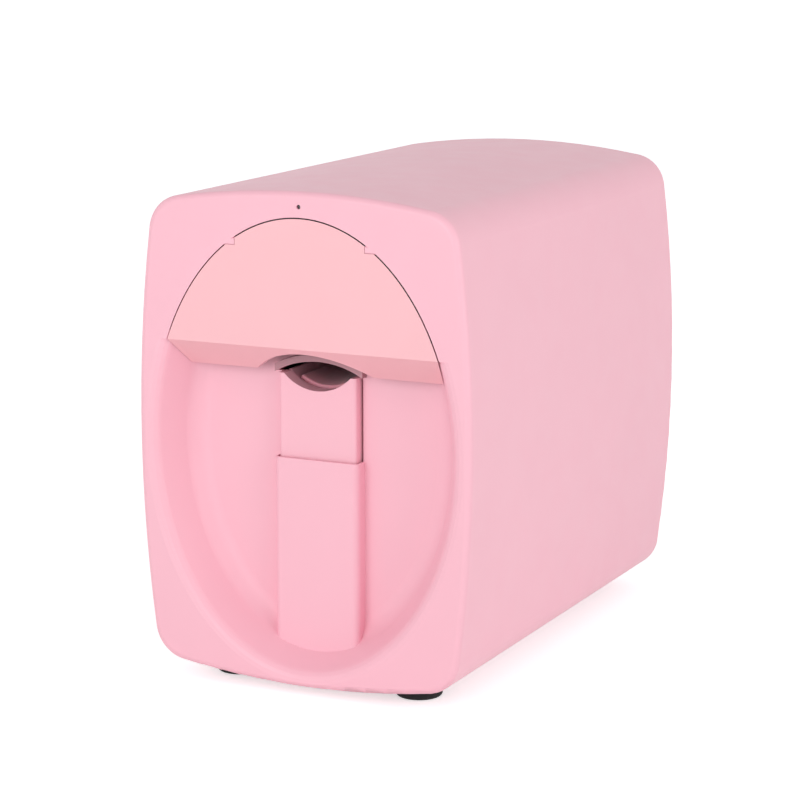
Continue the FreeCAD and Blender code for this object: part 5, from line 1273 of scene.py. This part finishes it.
class NAIL_PRINTER_OT_studio(bpy.types.Operator):
    """Sets up the camera, two soft lamps, the light from all round and the floor"""
    bl_idname = "nail_printer.studio"
    bl_label = "Studio"

    def execute(self, context):
        look = context.scene.printer_studio
        aim = Vector(look.target)
        self.camera(context, look, aim)
        self.lamp("key_lamp", aim, *KEY_LAMP, look.key)
        self.lamp("fill_lamp", aim, *FILL_LAMP, look.fill)
        self.surroundings(context, look)
        self.floor(look)
        context.scene.view_settings.view_transform = "Standard"
        return {"FINISHED"}

    def camera(self, context, look, aim):
        """A camera on the given bearing and height, level with the horizon."""
        away = Vector((math.sin(look.azimuth) * math.cos(look.elevation),
                       -math.cos(look.azimuth) * math.cos(look.elevation),
                       math.sin(look.elevation)))
        data = bpy.data.cameras.new("view")
        data.lens = look.lens
        data.clip_start = 10.0 * MM
        camera = bpy.data.objects.new("view", data)
        camera.location = aim + away * look.distance
        camera.rotation_euler = (-away).to_track_quat("-Z", "Y").to_euler()
        context.scene.collection.objects.link(camera)
        context.scene.camera = camera

    def lamp(self, name, aim, offset, width, power):
        """A square area lamp that faces a point from an offset."""
        data = bpy.data.lights.new(name, "AREA")
        data.size = width
        data.energy = power
        lamp = bpy.data.objects.new(name, data)
        lamp.location = aim + Vector(offset)
        lamp.rotation_euler = (-Vector(offset)).to_track_quat("-Z", "Y").to_euler()
        bpy.context.scene.collection.objects.link(lamp)

    def surroundings(self, context, look):
        """Even light from all round, which the camera and clear or shiny pieces see as white."""
        world = bpy.data.worlds.new("studio")
        world.use_nodes = True
        context.scene.world = world
        tree = world.node_tree
        light = tree.nodes["Background"]
        light.inputs["Color"].default_value = (1.0, 1.0, 1.0, 1.0)
        direction = tree.nodes.new("ShaderNodeTexCoord").outputs["Generated"]
        height = tree.nodes.new("ShaderNodeSeparateXYZ")
        tree.links.new(direction, height.inputs["Vector"])
        falling = tree.nodes.new("ShaderNodeMapRange")
        falling.inputs["To Min"].default_value = look.ambient
        falling.inputs["To Max"].default_value = look.overhead
        tree.links.new(height.outputs["Z"], falling.inputs["Value"])
        strength = self.seen_or_not(tree, seen=1.0)
        tree.links.new(falling.outputs["Result"], strength.inputs["To Min"])
        tree.links.new(strength.outputs["Result"], light.inputs["Strength"])

    def seen_or_not(self, tree, seen):
        """A node that gives one strength to what is seen or mirrored; its To Min lights things."""
        rays = tree.nodes.new("ShaderNodeLightPath")
        looking = rays.outputs["Is Camera Ray"]
        for ray in ("Is Glossy Ray", "Is Transmission Ray"):
            either = tree.nodes.new("ShaderNodeMath")
            either.operation = "MAXIMUM"
            tree.links.new(looking, either.inputs[0])
            tree.links.new(rays.outputs[ray], either.inputs[1])
            looking = either.outputs["Value"]
        strength = tree.nodes.new("ShaderNodeMapRange")
        strength.inputs["To Max"].default_value = seen
        tree.links.new(looking, strength.inputs["Value"])
        return strength

    def floor(self, look):
        """A plain pale floor that keeps the printer's shadow."""
        bpy.ops.mesh.primitive_plane_add(size=FLOOR_WIDTH, location=(0.0, 0.0, 0.0))
        floor = bpy.context.object
        floor.name = "floor"
        finish = Finish("floor_look", look.floor, roughness=0.9, specular=0.1)
        finish.put("Emission Color", (1.0, 1.0, 1.0, 1.0))
        glow = self.seen_or_not(finish.tree, seen=look.floor_glow)
        finish.feed("Emission Strength", glow.outputs["Result"])
        floor.data.materials.append(finish.material)


class NAIL_PRINTER_PT_pieces(bpy.types.Panel):
    """Lists the printer's sizes, colours and operators"""
    bl_label = "Nail art printer"
    bl_idname = "NAIL_PRINTER_PT_pieces"
    bl_space_type = "VIEW_3D"
    bl_region_type = "UI"
    bl_category = "Printer"

    def draw(self, context):
        for name in GROUPS:
            box = self.layout.box()
            group = getattr(context.scene, name)
            for value in group.__annotations__:
                box.prop(group, value)
        for operator in OPERATORS:
            self.layout.operator(operator.bl_idname)


GROUPS = {
    "printer_case": CaseLook,
    "printer_mechanism": MechanismLook,
    "printer_pieces": PieceSizes,
    "printer_studio": StudioLook,
}
OPERATORS = (
    NAIL_PRINTER_OT_case_finish,
    NAIL_PRINTER_OT_mechanism_finish,
    NAIL_PRINTER_OT_finger_pad,
    NAIL_PRINTER_OT_capping_pad,
    NAIL_PRINTER_OT_screws,
    NAIL_PRINTER_OT_rest_springs,
    NAIL_PRINTER_OT_lead_screw,
    NAIL_PRINTER_OT_belt_drive,
    NAIL_PRINTER_OT_board_parts,
    NAIL_PRINTER_OT_sockets,
    NAIL_PRINTER_OT_camera_parts,
    NAIL_PRINTER_OT_cartridge,
    NAIL_PRINTER_OT_studio,
)


def register():
    for name, group in GROUPS.items():
        bpy.utils.register_class(group)
        setattr(bpy.types.Scene, name, bpy.props.PointerProperty(type=group))
    for operator in OPERATORS:
        bpy.utils.register_class(operator)
    bpy.utils.register_class(NAIL_PRINTER_PT_pieces)


def unregister():
    bpy.utils.unregister_class(NAIL_PRINTER_PT_pieces)
    for operator in reversed(OPERATORS):
        bpy.utils.unregister_class(operator)
    for name, group in GROUPS.items():
        delattr(bpy.types.Scene, name)
        bpy.utils.unregister_class(group)


def main():
    """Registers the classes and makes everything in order."""
    register()
    bpy.ops.nail_printer.case_finish()
    bpy.ops.nail_printer.mechanism_finish()
    bpy.ops.nail_printer.finger_pad()
    bpy.ops.nail_printer.capping_pad()
    bpy.ops.nail_printer.screws()
    bpy.ops.nail_printer.rest_springs()
    bpy.ops.nail_printer.lead_screw()
    bpy.ops.nail_printer.belt_drive()
    bpy.ops.nail_printer.board_parts()
    bpy.ops.nail_printer.sockets()
    bpy.ops.nail_printer.camera_parts()
    bpy.ops.nail_printer.cartridge()
    bpy.ops.nail_printer.studio()


if __name__ == "__main__":
    main()
